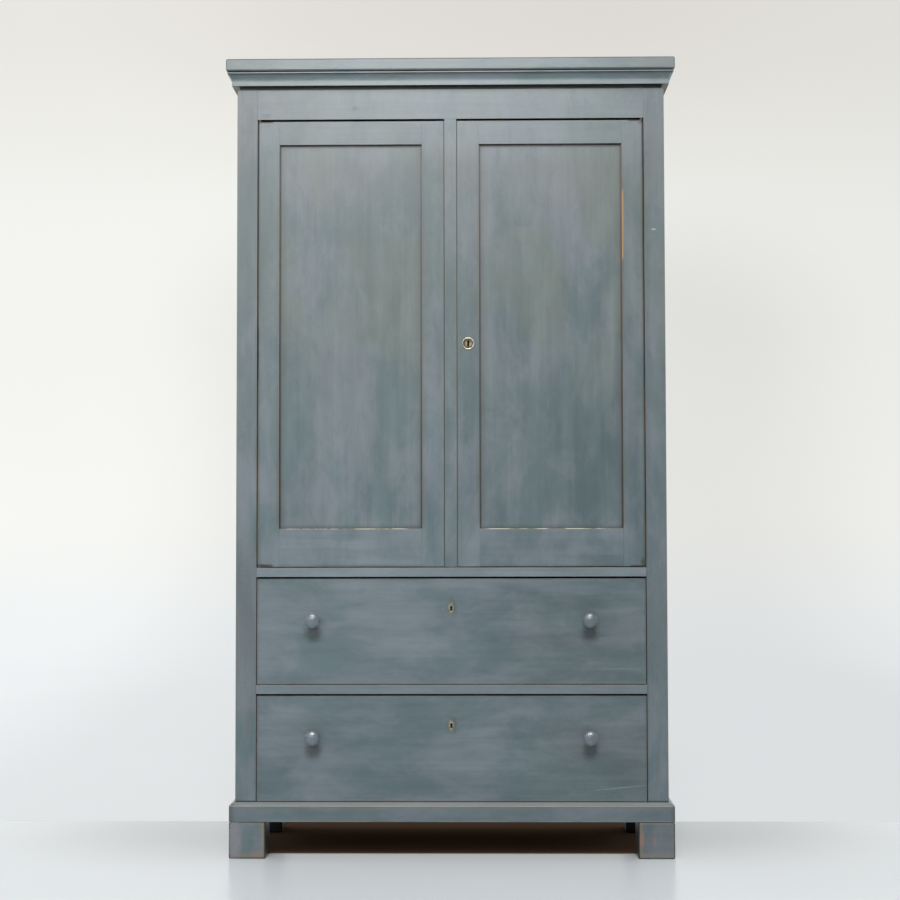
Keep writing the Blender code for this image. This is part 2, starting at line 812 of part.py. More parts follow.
def door_tenon_levels():
    """Bottom and top of the tenons of the bottom rail and of the top rail."""
    bottom = (DOOR_BOTTOM + DOOR_TENON_SHOULDER, DOOR_BOTTOM + DOOR_BOTTOM_RAIL - PANEL_GROOVE_DEPTH)
    top = (DOOR_TOP - DOOR_TOP_RAIL + PANEL_GROOVE_DEPTH, DOOR_TOP - DOOR_TENON_SHOULDER)
    return bottom, top


def build_door(word, side, carrier):
    groove_front = FRONT + PANEL_RECESS - FIT_GAP
    groove_back = FRONT + PANEL_RECESS + PANEL_TONGUE + FIT_GAP
    hinge_inner = DOOR_OUTER - DOOR_STILE_WIDTH
    meeting_inner = DOOR_INNER + DOOR_STILE_WIDTH
    panel_low = DOOR_BOTTOM + DOOR_BOTTOM_RAIL
    panel_high = DOOR_TOP - DOOR_TOP_RAIL
    levels = door_tenon_levels()

    def grooves(edge, inward):
        """The panel groove and the two mortises in a stile's inner edge."""
        deep = edge - inward * PANEL_GROOVE_DEPTH
        deeper = edge - inward * (DOOR_TENON_LENGTH + FIT_GAP)
        open_x = edge + inward * OVERRUN
        groove_x = span(side, deep, open_x)
        mortise_x = span(side, deeper, open_x)
        groove = box(
            (groove_x[0], groove_front, panel_low - PANEL_GROOVE_DEPTH),
            (groove_x[1], groove_back, panel_high + PANEL_GROOVE_DEPTH),
        )
        mortises = [
            box(
                (mortise_x[0], groove_front, low - FIT_GAP),
                (mortise_x[1], groove_back, high + FIT_GAP),
            )
            for low, high in levels
        ]
        return [[groove], mortises]

    def keyhole_cuts():
        return [[keyhole(*door_key_place(), FRONT - OVERRUN, lock_front() + OVERRUN, door_key_sizes())]]

    # The hinge stile has a round outer corner, centred on the pivot.
    corner = arc((PIVOT_X, PIVOT_Y), DOOR_EDGE_RADIUS, -QUARTER_TURN, 0.0, DOOR_EDGE_STEPS)
    outline = [(hinge_inner, FRONT)] + corner + [(DOOR_OUTER, FRAME_BACK), (hinge_inner, FRAME_BACK)]
    outline = [(side * x, y) for x, y in outline]
    leaf_x = span(side, DOOR_OUTER - LEAF_LENGTH - FIT_GAP, DOOR_OUTER + OVERRUN)
    leaf_back = FRONT + 2 * DOOR_EDGE_RADIUS + FIT_GAP
    recesses = [
        box(
            (leaf_x[0], FRONT - OVERRUN, DOOR_BOTTOM - OVERRUN),
            (leaf_x[1], leaf_back, DOOR_BOTTOM + LEAF_THICKNESS + FIT_GAP),
        ),
        box(
            (leaf_x[0], FRONT - OVERRUN, DOOR_TOP - LEAF_THICKNESS - FIT_GAP),
            (leaf_x[1], leaf_back, DOOR_TOP + OVERRUN),
        ),
    ]
    piece(
        f"door_{word}_hinge_stile",
        prism(outline, "Z", DOOR_BOTTOM, DOOR_TOP),
        PAINT,
        carrier,
        cuts=grooves(hinge_inner, -1) + [recesses],
    )

    stile_x = span(side, DOOR_INNER, meeting_inner)
    cuts = grooves(meeting_inner, 1)
    if word == "right":
        cuts += [[lock_recess()]] + keyhole_cuts()
    door_frame_piece(
        f"door_{word}_meeting_stile",
        (stile_x[0], FRONT, DOOR_BOTTOM),
        (stile_x[1], FRAME_BACK, DOOR_TOP),
        carrier,
        cuts=cuts,
    )

    rail_x = span(side, meeting_inner + FIT_GAP, hinge_inner - FIT_GAP)
    rails = {
        "bottom_rail": (DOOR_BOTTOM, panel_low, panel_low, -1, levels[0]),
        "top_rail": (panel_high, DOOR_TOP, panel_high, 1, levels[1]),
    }
    for rail, (low, high, edge, inward, tenon) in rails.items():
        tenons = [
            box(
                (rail_x[0] - DOOR_TENON_LENGTH + FIT_GAP, groove_front + FIT_GAP, tenon[0]),
                (rail_x[0] + OVERRUN, groove_back - FIT_GAP, tenon[1]),
            ),
            box(
                (rail_x[1] - OVERRUN, groove_front + FIT_GAP, tenon[0]),
                (rail_x[1] + DOOR_TENON_LENGTH - FIT_GAP, groove_back - FIT_GAP, tenon[1]),
            ),
        ]
        groove_z = sorted((edge + inward * PANEL_GROOVE_DEPTH, edge - inward * OVERRUN))
        groove = box(
            (rail_x[0] - OVERRUN, groove_front, groove_z[0]),
            (rail_x[1] + OVERRUN, groove_back, groove_z[1]),
        )
        cuts = [[groove]]
        if rail == "top_rail" and word == "left":
            cuts.append([rod(button_place(), BUTTON_SCREW_RADIUS + FIT_GAP, "Y",
                             FRAME_BACK - BUTTON_SCREW_LENGTH - FIT_GAP, FRAME_BACK + OVERRUN)])
        door_frame_piece(
            f"door_{word}_{rail}",
            (rail_x[0], FRONT, low),
            (rail_x[1], FRAME_BACK, high),
            carrier,
            joined=[tenons],
            cuts=cuts,
        )

    tongue = PANEL_GROOVE_DEPTH - PANEL_EDGE_GAP
    panel_x = span(side, meeting_inner - tongue, hinge_inner + tongue)
    build_panel(
        f"door_{word}_panel",
        (panel_x[0], FRONT + PANEL_RECESS, panel_low - tongue),
        (panel_x[1], FRONT + PANEL_RECESS + PANEL_TONGUE, panel_high + tongue),
        carrier,
    )


def build_panel(name, low, high, carrier):
    """A panel that is flat in front and fielded behind, thin enough at its edges for the groove."""

    def add(mesh):
        box(low, high)(mesh)
        mesh.faces.ensure_lookup_table()
        back = max(mesh.faces, key=lambda face: face.calc_center_median().y)
        bmesh.ops.inset_region(mesh, faces=[back], thickness=PANEL_GROOVE_DEPTH, use_even_offset=True)
        bmesh.ops.inset_region(
            mesh,
            faces=[back],
            thickness=PANEL_FIELD_MARGIN,
            depth=PANEL_FIELD_HEIGHT,
            use_even_offset=True,
        )

    return piece(name, add, PAINT, carrier)


def build_hinge_leaf(word, side, place, carrier):
    """A pivot hinge's leaf, let into the end of the hinge stile, with its collar and pin."""
    up = 1 if place == "top" else -1
    outer = DOOR_TOP if place == "top" else DOOR_BOTTOM
    inner = outer - up * LEAF_THICKNESS
    rail = FRIEZE_BOTTOM if place == "top" else UPPER_RAIL_TOP
    nose = arc((PIVOT_X, PIVOT_Y), DOOR_EDGE_RADIUS, -QUARTER_TURN, QUARTER_TURN, 2 * DOOR_EDGE_STEPS)
    tail = DOOR_OUTER - LEAF_LENGTH
    outline = nose + [(tail, PIVOT_Y + DOOR_EDGE_RADIUS), (tail, FRONT)]
    outline = [(side * x, y) for x, y in outline]
    centre = (side * PIVOT_X, PIVOT_Y)
    sunk = outer - up * LEAF_THICKNESS / 2
    collar = rod(centre, COLLAR_RADIUS, "Z", sunk, rail - up * FIT_GAP)
    pin = rod(centre, PIN_RADIUS, "Z", sunk, rail + up * (PIN_LENGTH - FIT_GAP))
    return piece(
        f"door_{word}_pivot_{place}",
        prism(outline, "Z", inner, outer),
        IRON,
        carrier,
        joined=[[collar], [pin]],
    )


# Door lock


def keyhole(x, z, start, end, sizes):
    """A keyhole run along Y: a round head over a slot that widens downwards, centred on its height."""
    head, slot, flare, length = sizes
    centre = (x, z + length / 2 - head)
    spread = math.asin(slot / 2 / head)
    ring = arc(centre, head, spread - QUARTER_TURN, FULL_TURN - QUARTER_TURN - spread, PIN_STEPS)
    foot = z - length / 2
    outline = ring + [(x - flare / 2, foot), (x + flare / 2, foot)]
    return prism(outline, "Y", start, end)


def door_key_sizes():
    return (DOOR_KEY_HEAD_RADIUS, DOOR_KEY_SLOT_WIDTH, DOOR_KEY_FLARE_WIDTH, DOOR_KEY_LENGTH)


def drawer_key_sizes():
    return (DRAWER_KEY_HEAD_RADIUS, DRAWER_KEY_SLOT_WIDTH, DRAWER_KEY_FLARE_WIDTH, DRAWER_KEY_LENGTH)


def door_key_place():
    return (DOOR_INNER + DOOR_STILE_WIDTH / 2, DOOR_KEYHOLE_HEIGHT)


def lock_front():
    return FRAME_BACK - LOCK_THICKNESS


def bolt_front():
    return lock_front() + (LOCK_THICKNESS - BOLT_THICKNESS) / 2


def lock_recess():
    """The lock is let in from the back and the edge of the meeting stile."""
    half = LOCK_HEIGHT / 2 + FIT_GAP
    return box(
        (DOOR_INNER - OVERRUN, lock_front() - FIT_GAP, DOOR_KEYHOLE_HEIGHT - half),
        (DOOR_INNER + LOCK_DEPTH + FIT_GAP, FRAME_BACK + OVERRUN, DOOR_KEYHOLE_HEIGHT + half),
    )


def build_door_lock(door, bolt_carrier):
    half = LOCK_HEIGHT / 2
    bolt_half = BOLT_HEIGHT / 2
    pocket = box(
        (DOOR_INNER - OVERRUN, bolt_front() - FIT_GAP, DOOR_KEYHOLE_HEIGHT - bolt_half - FIT_GAP),
        (
            DOOR_INNER + BOLT_POCKET_DEPTH,
            bolt_front() + BOLT_THICKNESS + FIT_GAP,
            DOOR_KEYHOLE_HEIGHT + bolt_half + FIT_GAP,
        ),
    )
    way = keyhole(*door_key_place(), lock_front() - OVERRUN, FRAME_BACK - OVERRUN, door_key_sizes())
    piece(
        "door_lock_case",
        box(
            (DOOR_INNER, lock_front(), DOOR_KEYHOLE_HEIGHT - half),
            (DOOR_INNER + LOCK_DEPTH, FRAME_BACK, DOOR_KEYHOLE_HEIGHT + half),
        ),
        IRON,
        door,
        cuts=[[pocket], [way]],
    )
    piece(
        "door_lock_bolt",
        box(
            (DOOR_INNER, bolt_front(), DOOR_KEYHOLE_HEIGHT - bolt_half),
            (DOOR_INNER + BOLT_LENGTH, bolt_front() + BOLT_THICKNESS, DOOR_KEYHOLE_HEIGHT + bolt_half),
        ),
        IRON,
        bolt_carrier,
    )
    build_escutcheon(door)


def build_escutcheon(door):
    """A round brass plate with a raised rounded rim and a dished middle."""
    rim = ESCUTCHEON_RIM / 2
    rim_centre = ESCUTCHEON_RADIUS - rim
    rise = ESCUTCHEON_RIM_HEIGHT - ESCUTCHEON_PLATE
    crown = []
    for step in range(RIM_STEPS + 1):
        turn = HALF_TURN * (RIM_STEPS - step) / RIM_STEPS
        crown.append((rim_centre + rim * math.cos(turn), ESCUTCHEON_PLATE + rise * math.sin(turn)))
    middle = ESCUTCHEON_PLATE - ESCUTCHEON_DISH / 2
    profile = [(0.0, middle)] + crown + [(ESCUTCHEON_RADIUS, 0.0), (0.0, 0.0)]
    x, z = door_key_place()
    centre = (x, FRONT - FIT_GAP, z)
    hole = keyhole(x, z, FRONT - ESCUTCHEON_RIM_HEIGHT - OVERRUN, FRONT + OVERRUN, door_key_sizes())
    turned(
        "door_escutcheon",
        profile,
        centre,
        (QUARTER_TURN, 0.0, 0.0),
        BRASS,
        door,
        ESCUTCHEON_STEPS,
        cuts=[[hole]],
    )


# Turn button


def button_place():
    """X and Z of the turn button's screw."""
    return (-(DOOR_INNER + BUTTON_FROM_POST), DOOR_TOP - BUTTON_FROM_TOP)


def build_turn_button(carrier):
    x, z = button_place()
    front = FRAME_BACK + BUTTON_STANDOFF
    back = front + BUTTON_THICKNESS
    half = BUTTON_LENGTH / 2
    round_end = BUTTON_WIDTH / 2
    straight = half - round_end
    right = arc((x + straight, z), round_end, -QUARTER_TURN, QUARTER_TURN, DOOR_EDGE_STEPS)
    left = arc((x - straight, z), round_end, QUARTER_TURN, QUARTER_TURN + HALF_TURN, DOOR_EDGE_STEPS)
    boss = rod((x, z), BUTTON_BOSS_RADIUS, "Y", FRAME_BACK + FIT_GAP, front + OVERRUN)
    screw = rod((x, z), BUTTON_SCREW_RADIUS, "Y", FRAME_BACK - BUTTON_SCREW_LENGTH, front + OVERRUN)
    head = rod((x, z), BUTTON_HEAD_RADIUS, "Y", back - OVERRUN, back + BUTTON_HEAD_HEIGHT)
    piece(
        "turn_button",
        prism(right + left, "Y", front, back),
        BARE_PINE,
        carrier,
        joined=[[boss], [screw], [head]],
    )


# Drawers


def tail_edge(low, high, shoulder, end, spare=0.0, past=0.0, beyond=0.0):
    """Tails along one end of a drawer side, as outlines of depth and height.

    For the sockets that take them, spare widens each tail, past carries it on behind the shoulder
    and beyond carries it on in front of its end, all with the same slope.
    """
    pitch = (high - low) / TAIL_COUNT
    wide = pitch * TAIL_WIDE_SHARE / 2
    narrow = pitch * TAIL_NARROW_SHARE / 2
    slope = (wide - narrow) / abs(shoulder - end)
    away = 1 if shoulder > end else -1
    root = narrow - slope * past + spare
    tip = wide + slope * beyond + spare
    tails = []
    for number in range(TAIL_COUNT):
        centre = low + pitch * (number + 1 / 2)
        tails.append(
            [
                (shoulder + away * past, centre - root),
                (end - away * beyond, centre - tip),
                (end - away * beyond, centre + tip),
                (shoulder + away * past, centre + root),
            ]
        )
    return tails


def build_drawer(word, opening_bottom, opening_height, carrier):
    front_bottom = opening_bottom + RUNNING_GAP
    front_top = opening_bottom + opening_height - DRAWER_TOP_GAP
    side_bottom = opening_bottom + FIT_GAP
    side_top = front_top - DRAWER_SIDE_DROP
    floor_bottom = opening_bottom + DRAWER_BOTTOM_HEIGHT
    floor_top = floor_bottom + DRAWER_BOTTOM_THICKNESS
    knob_height = front_bottom + KNOB_UP
    keyhole_height = front_top - DRAWER_KEYHOLE_DOWN
    half = DRAWER_HALF
    side_inner = half - DRAWER_SIDE_THICKNESS
    drawer_back = PANEL_FRONT - DRAWER_BACK_ROOM
    back_front = drawer_back - DRAWER_BACK_THICKNESS

    # The sides carry the tails: lapped ones in front, through ones behind.
    front_shoulder = FRAME_BACK + FIT_GAP
    back_shoulder = back_front - FIT_GAP
    front_end = FRAME_BACK - TAIL_LENGTH
    tail_low, tail_high = front_bottom, side_top
    back_low = floor_top + 2 * FIT_GAP
    front_tails = tail_edge(tail_low, tail_high, front_shoulder, front_end)
    back_tails = tail_edge(back_low, tail_high, back_shoulder, drawer_back)
    outline = [(front_shoulder, side_bottom)]
    for tail in front_tails:
        outline += tail
    outline += [(front_shoulder, side_top), (back_shoulder, side_top)]
    for tail in reversed(back_tails):
        outline += reversed(tail)
    outline.append((back_shoulder, side_bottom))
    for side_word, side in SIDES.items():
        outer_x, inner_x = side * half, side * side_inner
        groove_x = span(side, side_inner - OVERRUN, side_inner + DRAWER_GROOVE_DEPTH + FIT_GAP)
        groove = box(
            (groove_x[0], front_end - OVERRUN, floor_bottom - FIT_GAP),
            (groove_x[1], drawer_back + OVERRUN, floor_top + FIT_GAP),
        )
        piece(
            f"drawer_{word}_side_{side_word}",
            prism(outline, "X", outer_x, inner_x),
            BARE_PINE,
            carrier,
            cuts=[[groove]],
        )

    sockets = []
    back_sockets = []
    for side in SIDES.values():
        socket_x = span(side, side_inner - FIT_GAP, half + OVERRUN)
        for tail in tail_edge(tail_low, tail_high, front_shoulder, front_end, FIT_GAP, OVERRUN, FIT_GAP):
            sockets.append(prism(tail, "X", *socket_x))
        for tail in tail_edge(back_low, tail_high, back_shoulder, drawer_back, FIT_GAP, OVERRUN, OVERRUN):
            back_sockets.append(prism(tail, "X", *socket_x))

    lock_thick = DRAWER_LOCK_THICKNESS
    lock_face = FRAME_BACK - lock_thick
    bore = KNOB_SPIGOT_RADIUS + FIT_GAP
    knob_bores = [
        rod((side * KNOB_X, knob_height), bore, "Y", FRONT - OVERRUN, FRAME_BACK + OVERRUN)
        for side in SIDES.values()
    ]
    front_groove = box(
        (-side_inner + FIT_GAP + OVERRUN, FRAME_BACK - DRAWER_GROOVE_DEPTH, floor_bottom - FIT_GAP),
        (side_inner - FIT_GAP - OVERRUN, FRAME_BACK + OVERRUN, floor_top + FIT_GAP),
    )
    recess = prism(
        drawer_lock_outline(keyhole_height, front_top + OVERRUN, FIT_GAP),
        "Y",
        lock_face - FIT_GAP,
        FRAME_BACK + OVERRUN,
    )
    key_way = keyhole(0.0, keyhole_height, FRONT - OVERRUN, lock_face + OVERRUN, drawer_key_sizes())
    piece(
        f"drawer_{word}_front",
        box((-half, FRONT, front_bottom), (half, FRAME_BACK, front_top)),
        PAINT,
        carrier,
        ease=DRAWER_EDGE_EASE,
        cuts=[sockets, knob_bores + [front_groove], [recess], [key_way]],
    )
    piece(
        f"drawer_{word}_back",
        box((-half, back_front, floor_top + FIT_GAP), (half, drawer_back, side_top)),
        BARE_PINE,
        carrier,
        cuts=[back_sockets],
    )
    floor_half = side_inner + DRAWER_GROOVE_DEPTH
    piece(
        f"drawer_{word}_bottom",
        box(
            (-floor_half, FRAME_BACK + FIT_GAP, floor_bottom),
            (floor_half, drawer_back, floor_top),
        ),
        BARE_PINE,
        carrier,
        joined=[
            [
                box(
                    (
                        -side_inner + 2 * FIT_GAP + OVERRUN,
                        FRAME_BACK - DRAWER_GROOVE_DEPTH + FIT_GAP,
                        floor_bottom,
                    ),
                    (side_inner - 2 * FIT_GAP - OVERRUN, FRAME_BACK + OVERRUN, floor_top),
                )
            ]
        ],
    )

    pocket_back = lock_face + DRAWER_KEY_POCKET
    pocket = keyhole(0.0, keyhole_height, lock_face - OVERRUN, pocket_back, drawer_key_sizes())
    piece(
        f"drawer_{word}_lock",
        prism(drawer_lock_outline(keyhole_height, front_top, 0.0), "Y", lock_face, FRAME_BACK),
        IRON,
        carrier,
        cuts=[[pocket]],
    )
    for side_word, side in SIDES.items():
        build_knob(f"drawer_{word}_knob_{side_word}", (side * KNOB_X, FRONT, knob_height), carrier)


def drawer_lock_outline(keyhole_height, top, spare):
    """A square case round the keyhole, with a narrow bolt guide that runs up to the drawer's top edge."""
    case = DRAWER_LOCK_WIDTH / 2 + spare
    guide = BOLT_GUIDE_WIDTH / 2 + spare
    low = keyhole_height - DRAWER_LOCK_HEIGHT / 2 - spare
    high = keyhole_height + DRAWER_LOCK_HEIGHT / 2 + spare
    right = [(case, low), (case, high), (guide, high), (guide, top)]
    return right + [(-x, z) for x, z in reversed(right)]


def build_knob(name, place, carrier):
    """A turned mushroom knob with a collar against the drawer and a spigot through it."""
    head_centre = KNOB_LENGTH - KNOB_HEAD_DEPTH / 2
    head = []
    for step in range(KNOB_HEAD_STEPS + 1):
        turn = QUARTER_TURN - HALF_TURN * step / KNOB_HEAD_STEPS
        radius = KNOB_HEAD_RADIUS * math.cos(turn)
        head.append((radius, head_centre + KNOB_HEAD_DEPTH / 2 * math.sin(turn)))
    head = [(radius, height) for radius, height in head if radius > KNOB_NECK_RADIUS or height > head_centre]
    neck_top = head[-1][1]
    hollow = KNOB_COLLAR_RADIUS - KNOB_NECK_RADIUS
    neck = []
    for step in range(KNOB_NECK_STEPS + 1):
        turn = QUARTER_TURN * step / KNOB_NECK_STEPS
        drop = (neck_top - KNOB_COLLAR_LENGTH) * math.sin(turn)
        neck.append((KNOB_NECK_RADIUS + hollow * (1 - math.cos(turn)), neck_top - drop))
    profile = (
        head
        + neck[1:]
        + [
            (KNOB_COLLAR_RADIUS, FIT_GAP),
            (KNOB_SPIGOT_RADIUS, FIT_GAP),
            (KNOB_SPIGOT_RADIUS, -KNOB_SPIGOT_LENGTH),
            (0.0, -KNOB_SPIGOT_LENGTH),
        ]
    )
    return turned(name, profile, place, (QUARTER_TURN, 0.0, 0.0), PAINT, carrier, KNOB_STEPS)


def build_all():
    build_sides()
    build_stiles()
    build_frieze_rail()
    build_centre_post()
    build_drawer_rails()
    build_boards()
    build_runners()
    build_back_panel()
    build_mouldings()
    build_cap()
    build_feet()
    for word, side in SIDES.items():
        carrier = empty(f"door_{word}_axis", (side * PIVOT_X, PIVOT_Y, DOOR_BOTTOM))
        build_door(word, side, carrier)
        for place in ("bottom", "top"):
            build_hinge_leaf(word, side, place, carrier)
        if word == "right":
            bolt_axis = empty("door_lock_bolt_axis", (DOOR_INNER, bolt_front(), DOOR_KEYHOLE_HEIGHT))
            build_door_lock(carrier, bolt_axis)
        else:
            x, z = button_place()
            build_turn_button(empty("turn_button_axis", (x, FRAME_BACK, z)))
    drawers = {
        "upper": (LOWER_RAIL_TOP, UPPER_OPENING_HEIGHT),
        "lower": (BASE_TOP, LOWER_OPENING_HEIGHT),
    }
    for word, (bottom, height) in drawers.items():
        carrier = empty(f"drawer_{word}_slide", (0.0, FRONT, bottom))
        build_drawer(word, bottom, height, carrier)


clear_scene()
PARTS = new_collection("linen_press")
CUTTERS = new_collection("cutters")
build_all()
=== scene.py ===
"""Linen press: paint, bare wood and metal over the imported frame, with its floor, sweep, lights and camera."""

import math
import random

import bpy
from mathutils import Matrix, Vector


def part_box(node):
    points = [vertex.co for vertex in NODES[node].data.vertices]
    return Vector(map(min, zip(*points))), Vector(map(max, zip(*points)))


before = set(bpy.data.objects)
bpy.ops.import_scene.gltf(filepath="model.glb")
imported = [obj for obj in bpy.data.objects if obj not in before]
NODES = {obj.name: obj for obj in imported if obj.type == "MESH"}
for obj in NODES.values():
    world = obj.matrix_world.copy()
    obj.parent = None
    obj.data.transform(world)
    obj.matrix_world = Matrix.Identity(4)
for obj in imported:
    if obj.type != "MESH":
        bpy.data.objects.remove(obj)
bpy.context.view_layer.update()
seeds = random.Random(7)

# Camera, fitted to the photograph's edges
LENS = 69.30
CAMERA_PLACE = (0.0735, -4.7651, 0.8664)
CAMERA_TURN = (92.478, 0.953, -0.113)  # pitch, yaw and roll, in degrees

# Room: the floor ends where the photograph's wall begins, and a white sweep goes on behind it
FLOOR_END = 0.345
FLOOR_HALF = 11.0
SWEEP_RISE = 5.6
SWEEP_RADIUS = 2.2
SWEEP_TOP = 8.0
SWEEP_STEPS = 16
SURROUND_RADIUS = 18.0
SURROUND_STEPS = 48

WHITE = (0.15, 0.15, 0.15)
# The sweep's glow, painted light: cooler low down, warmer and dimmer high up
WHITE_LOW = (0.690, 0.720, 0.735)
WHITE_GLOW = (0.745, 0.752, 0.715)
WHITE_HIGH = (0.620, 0.590, 0.550)
SURROUND = (0.85, 0.855, 0.83)
FLOOR = (0.635, 0.67, 0.70)
# Painted shadow on the floor under the press
FLOOR_SHADOW_UNDER = (0.105, 0.068, 0.044)

# Where the floor holds a painted shadow under the press and painted shade beside it, from where it starts to
# where it is full
UNDER_SIDE = (0.575, 0.53)
UNDER_FRONT = (-0.165, -0.140)
BESIDE_SIDE = (1.5, 0.6)
BESIDE_FRONT = (-0.6, 0.25)
BESIDE_SHARE = 0.72
FLOOR_ROUGHNESS = (0.26, 0.9)  # in the open and under the press
FLOOR_SPECULAR = (0.36, 0.0)

# Where the sweep's own light changes, and where it holds a painted shadow of the press
GLOW_RISE = (0.02, 1.0)
HIGH_RISE = (2.9, 4.7)
HIGH_SIDE = (3.2, 0.5, 0.6, 1.0)
SHADED_MIDDLE = 0.3
SHADED_SIDE = (3.2, 1.2)
SHADED_RISE = (3.6, 2.2)
SHADED_SHARE = 0.87
RIGHT_FALL = (-2.8, 2.8, 1.0, 0.90)
ROOM_CLOUD = (0.8, 0.8, 0.8)
ROOM_CLOUD_AT = (3.0, 1.0, 2.0)

# Light
SKY_LOW = 0.03
SKY_HIGH = 0.36
SKY_RISE = 0.6
SKY_COLOR = (0.93, 0.96, 1.0)
SUN_FROM = (0.0, -0.67, 0.74)
SUN_SPREAD = 22.0  # degrees
SUN_POWER = 2.45
SUN_COLOR = (1.0, 0.985, 0.96)
WARM = (1.0, 0.99, 0.98)
COOL = (0.96, 0.98, 1.0)
LAMPS = {  # place, aim, size, power, colour, gloss only; the side lamps stay behind the front's plane
    "fill": ((-2.0, -5.8, 2.6), (0.0, 0.0, 1.0), (6.0, 2.2), 115.0, WARM, False),
    "sheen": ((-0.7, -6.0, 4.9), (0.0, 0.0, 1.6), (3.8, 0.9), 430.0, WARM, True),
    "overhead": ((-0.3, -2.0, 5.4), (0.0, -0.2, 0.6), (3.4, 1.0), 45.0, WARM, True),
    "lamp_left": ((-6.0, 1.05, 2.8), (0.0, 0.0, 1.1), (2.4, 2.4), 75.0, COOL, False),
    "lamp_right": ((6.0, 1.05, 2.8), (0.0, 0.0, 1.1), (2.4, 2.4), 75.0, COOL, False),
}

# Paint, in linear colour
BLUE = (0.061, 0.103, 0.113)
GREEN = (0.084, 0.114, 0.101)
VIOLET = (0.100, 0.119, 0.137)
# Marks: grime is dirt and painted shade, and crevice is painted shade, in corners, gaps, recesses and under
# things; pale is dust, scratches and a painted highlight on some top edges
MARKS = {
    "grime": (0.034, 0.034, 0.025),
    "tan": (0.170, 0.120, 0.062),
    "glaze": (0.150, 0.134, 0.092),
    "ochre": (0.330, 0.165, 0.045),
    "pale": (0.238, 0.245, 0.243),
    "cream": (0.560, 0.520, 0.410),
    "crevice": (0.012, 0.011, 0.009),
    "mist": (0.160, 0.162, 0.182),
    "rust": (0.250, 0.110, 0.055),
}
# Painted shade on faces that look down
UNDERSIDE_SHADE = (0.030, 0.019, 0.011)
PINE_LIGHT = (0.36, 0.235, 0.125)
PINE_DARK = (0.245, 0.145, 0.070)
BARE_DARK = (0.20, 0.12, 0.06)
BARE_LIGHT = (0.30, 0.19, 0.10)
IRON_DARK = (0.035, 0.03, 0.026)
IRON_LIGHT = (0.075, 0.062, 0.05)
BRASS_DARK = (0.30, 0.27, 0.22)
BRASS_LIGHT = (0.52, 0.475, 0.365)
BRASS_GRIME = (0.045, 0.036, 0.024)
BRASS_BROWN = (0.215, 0.165, 0.100)
DISH_SHARE = 0.82  # of the escutcheon's radius
INNER_SHARE = 0.56

# Brushwork, per metre along and across the grain
CLOUD_UP = (8.0, 8.0, 4.0)
CLOUD_ACROSS = (4.0, 8.0, 9.0)
MOTTLE_UP = (34.0, 34.0, 16.0)
MOTTLE_ACROSS = (16.0, 34.0, 36.0)
CLOUD_AT = (11.0, 3.0, 7.0)
TINT_AT = (31.0, 8.0, 17.0)
MOTTLE_AT = (5.0, 9.0, 2.0)
GREEN_RISE = (1.0, 1.5)
# Painted light and shade: the paint is lighter low on the left and darker low on the right, lighter at the top
# middle as a painted sheen, and lighter at the doors' lower ends
LIFT = 0.22
LIFT_HUE = 0.07
LIFT_LOW = (0.15, 0.60)
LIFT_HIGH = (1.50, 1.05)
LIFT_SIDE = (0.25, -0.15, -0.1, 1.0)
TOP_PAINTED_SHEEN = 0.36
TOP_HUE = 0.05
TOP_RISE = (1.80, 1.91)
TOP_LEFT = (-0.62, -0.25)
TOP_RIGHT = (0.62, 0.30)
FOOT_PAINTED_LIGHT = 0.12
FOOT_RISE = (0.75, 0.757)
FOOT_FALL = (0.92, 0.82)
FOOT_SIDE = (0.53, 0.42)
# Brushwork again, per metre along and across the grain
WASH = (4.0, 26.0)
STREAKS = (2.0, 85.0)
HAIRS = (9.0, 420.0)

# How much each pattern darkens and lightens the paint
CLOUD_VALUE = (0.30, 0.70, -0.10, 0.10)
MOTTLE_VALUE = (0.25, 0.75, -0.06, 0.06)
WASH_VALUE = (0.30, 0.70, -0.06, 0.06)
STREAK_VALUE = (0.25, 0.75, -0.055, 0.055)
FINE_VALUE = (0.30, 0.70, -0.03, 0.03)

# Which way a face looks, from where a covering starts to where it is full
FACES_UP = (0.35, 0.75)
FACES_AWAY = (0.7, 0.9)
FACES_DOWN = (-0.7, -0.9)
ROUNDED = (0.97, 0.86)

PAINT_SPECULAR = 0.55
PAINT_BUMP = (0.0003, 0.4)  # distance and strength
PINE_BUMP = (0.0008, 0.5)
METAL_BUMP = (0.0002, 0.4)

# Places of the wear, in metres
END_SOFTNESS = 0.02
EDGE_OVERLAP = 0.0006
DRAWER_KEYHOLE_DOWN = 0.0777
POST_HALF = 0.016  # of the centre post's narrow front
GROOVE_DOWN = 0.0087


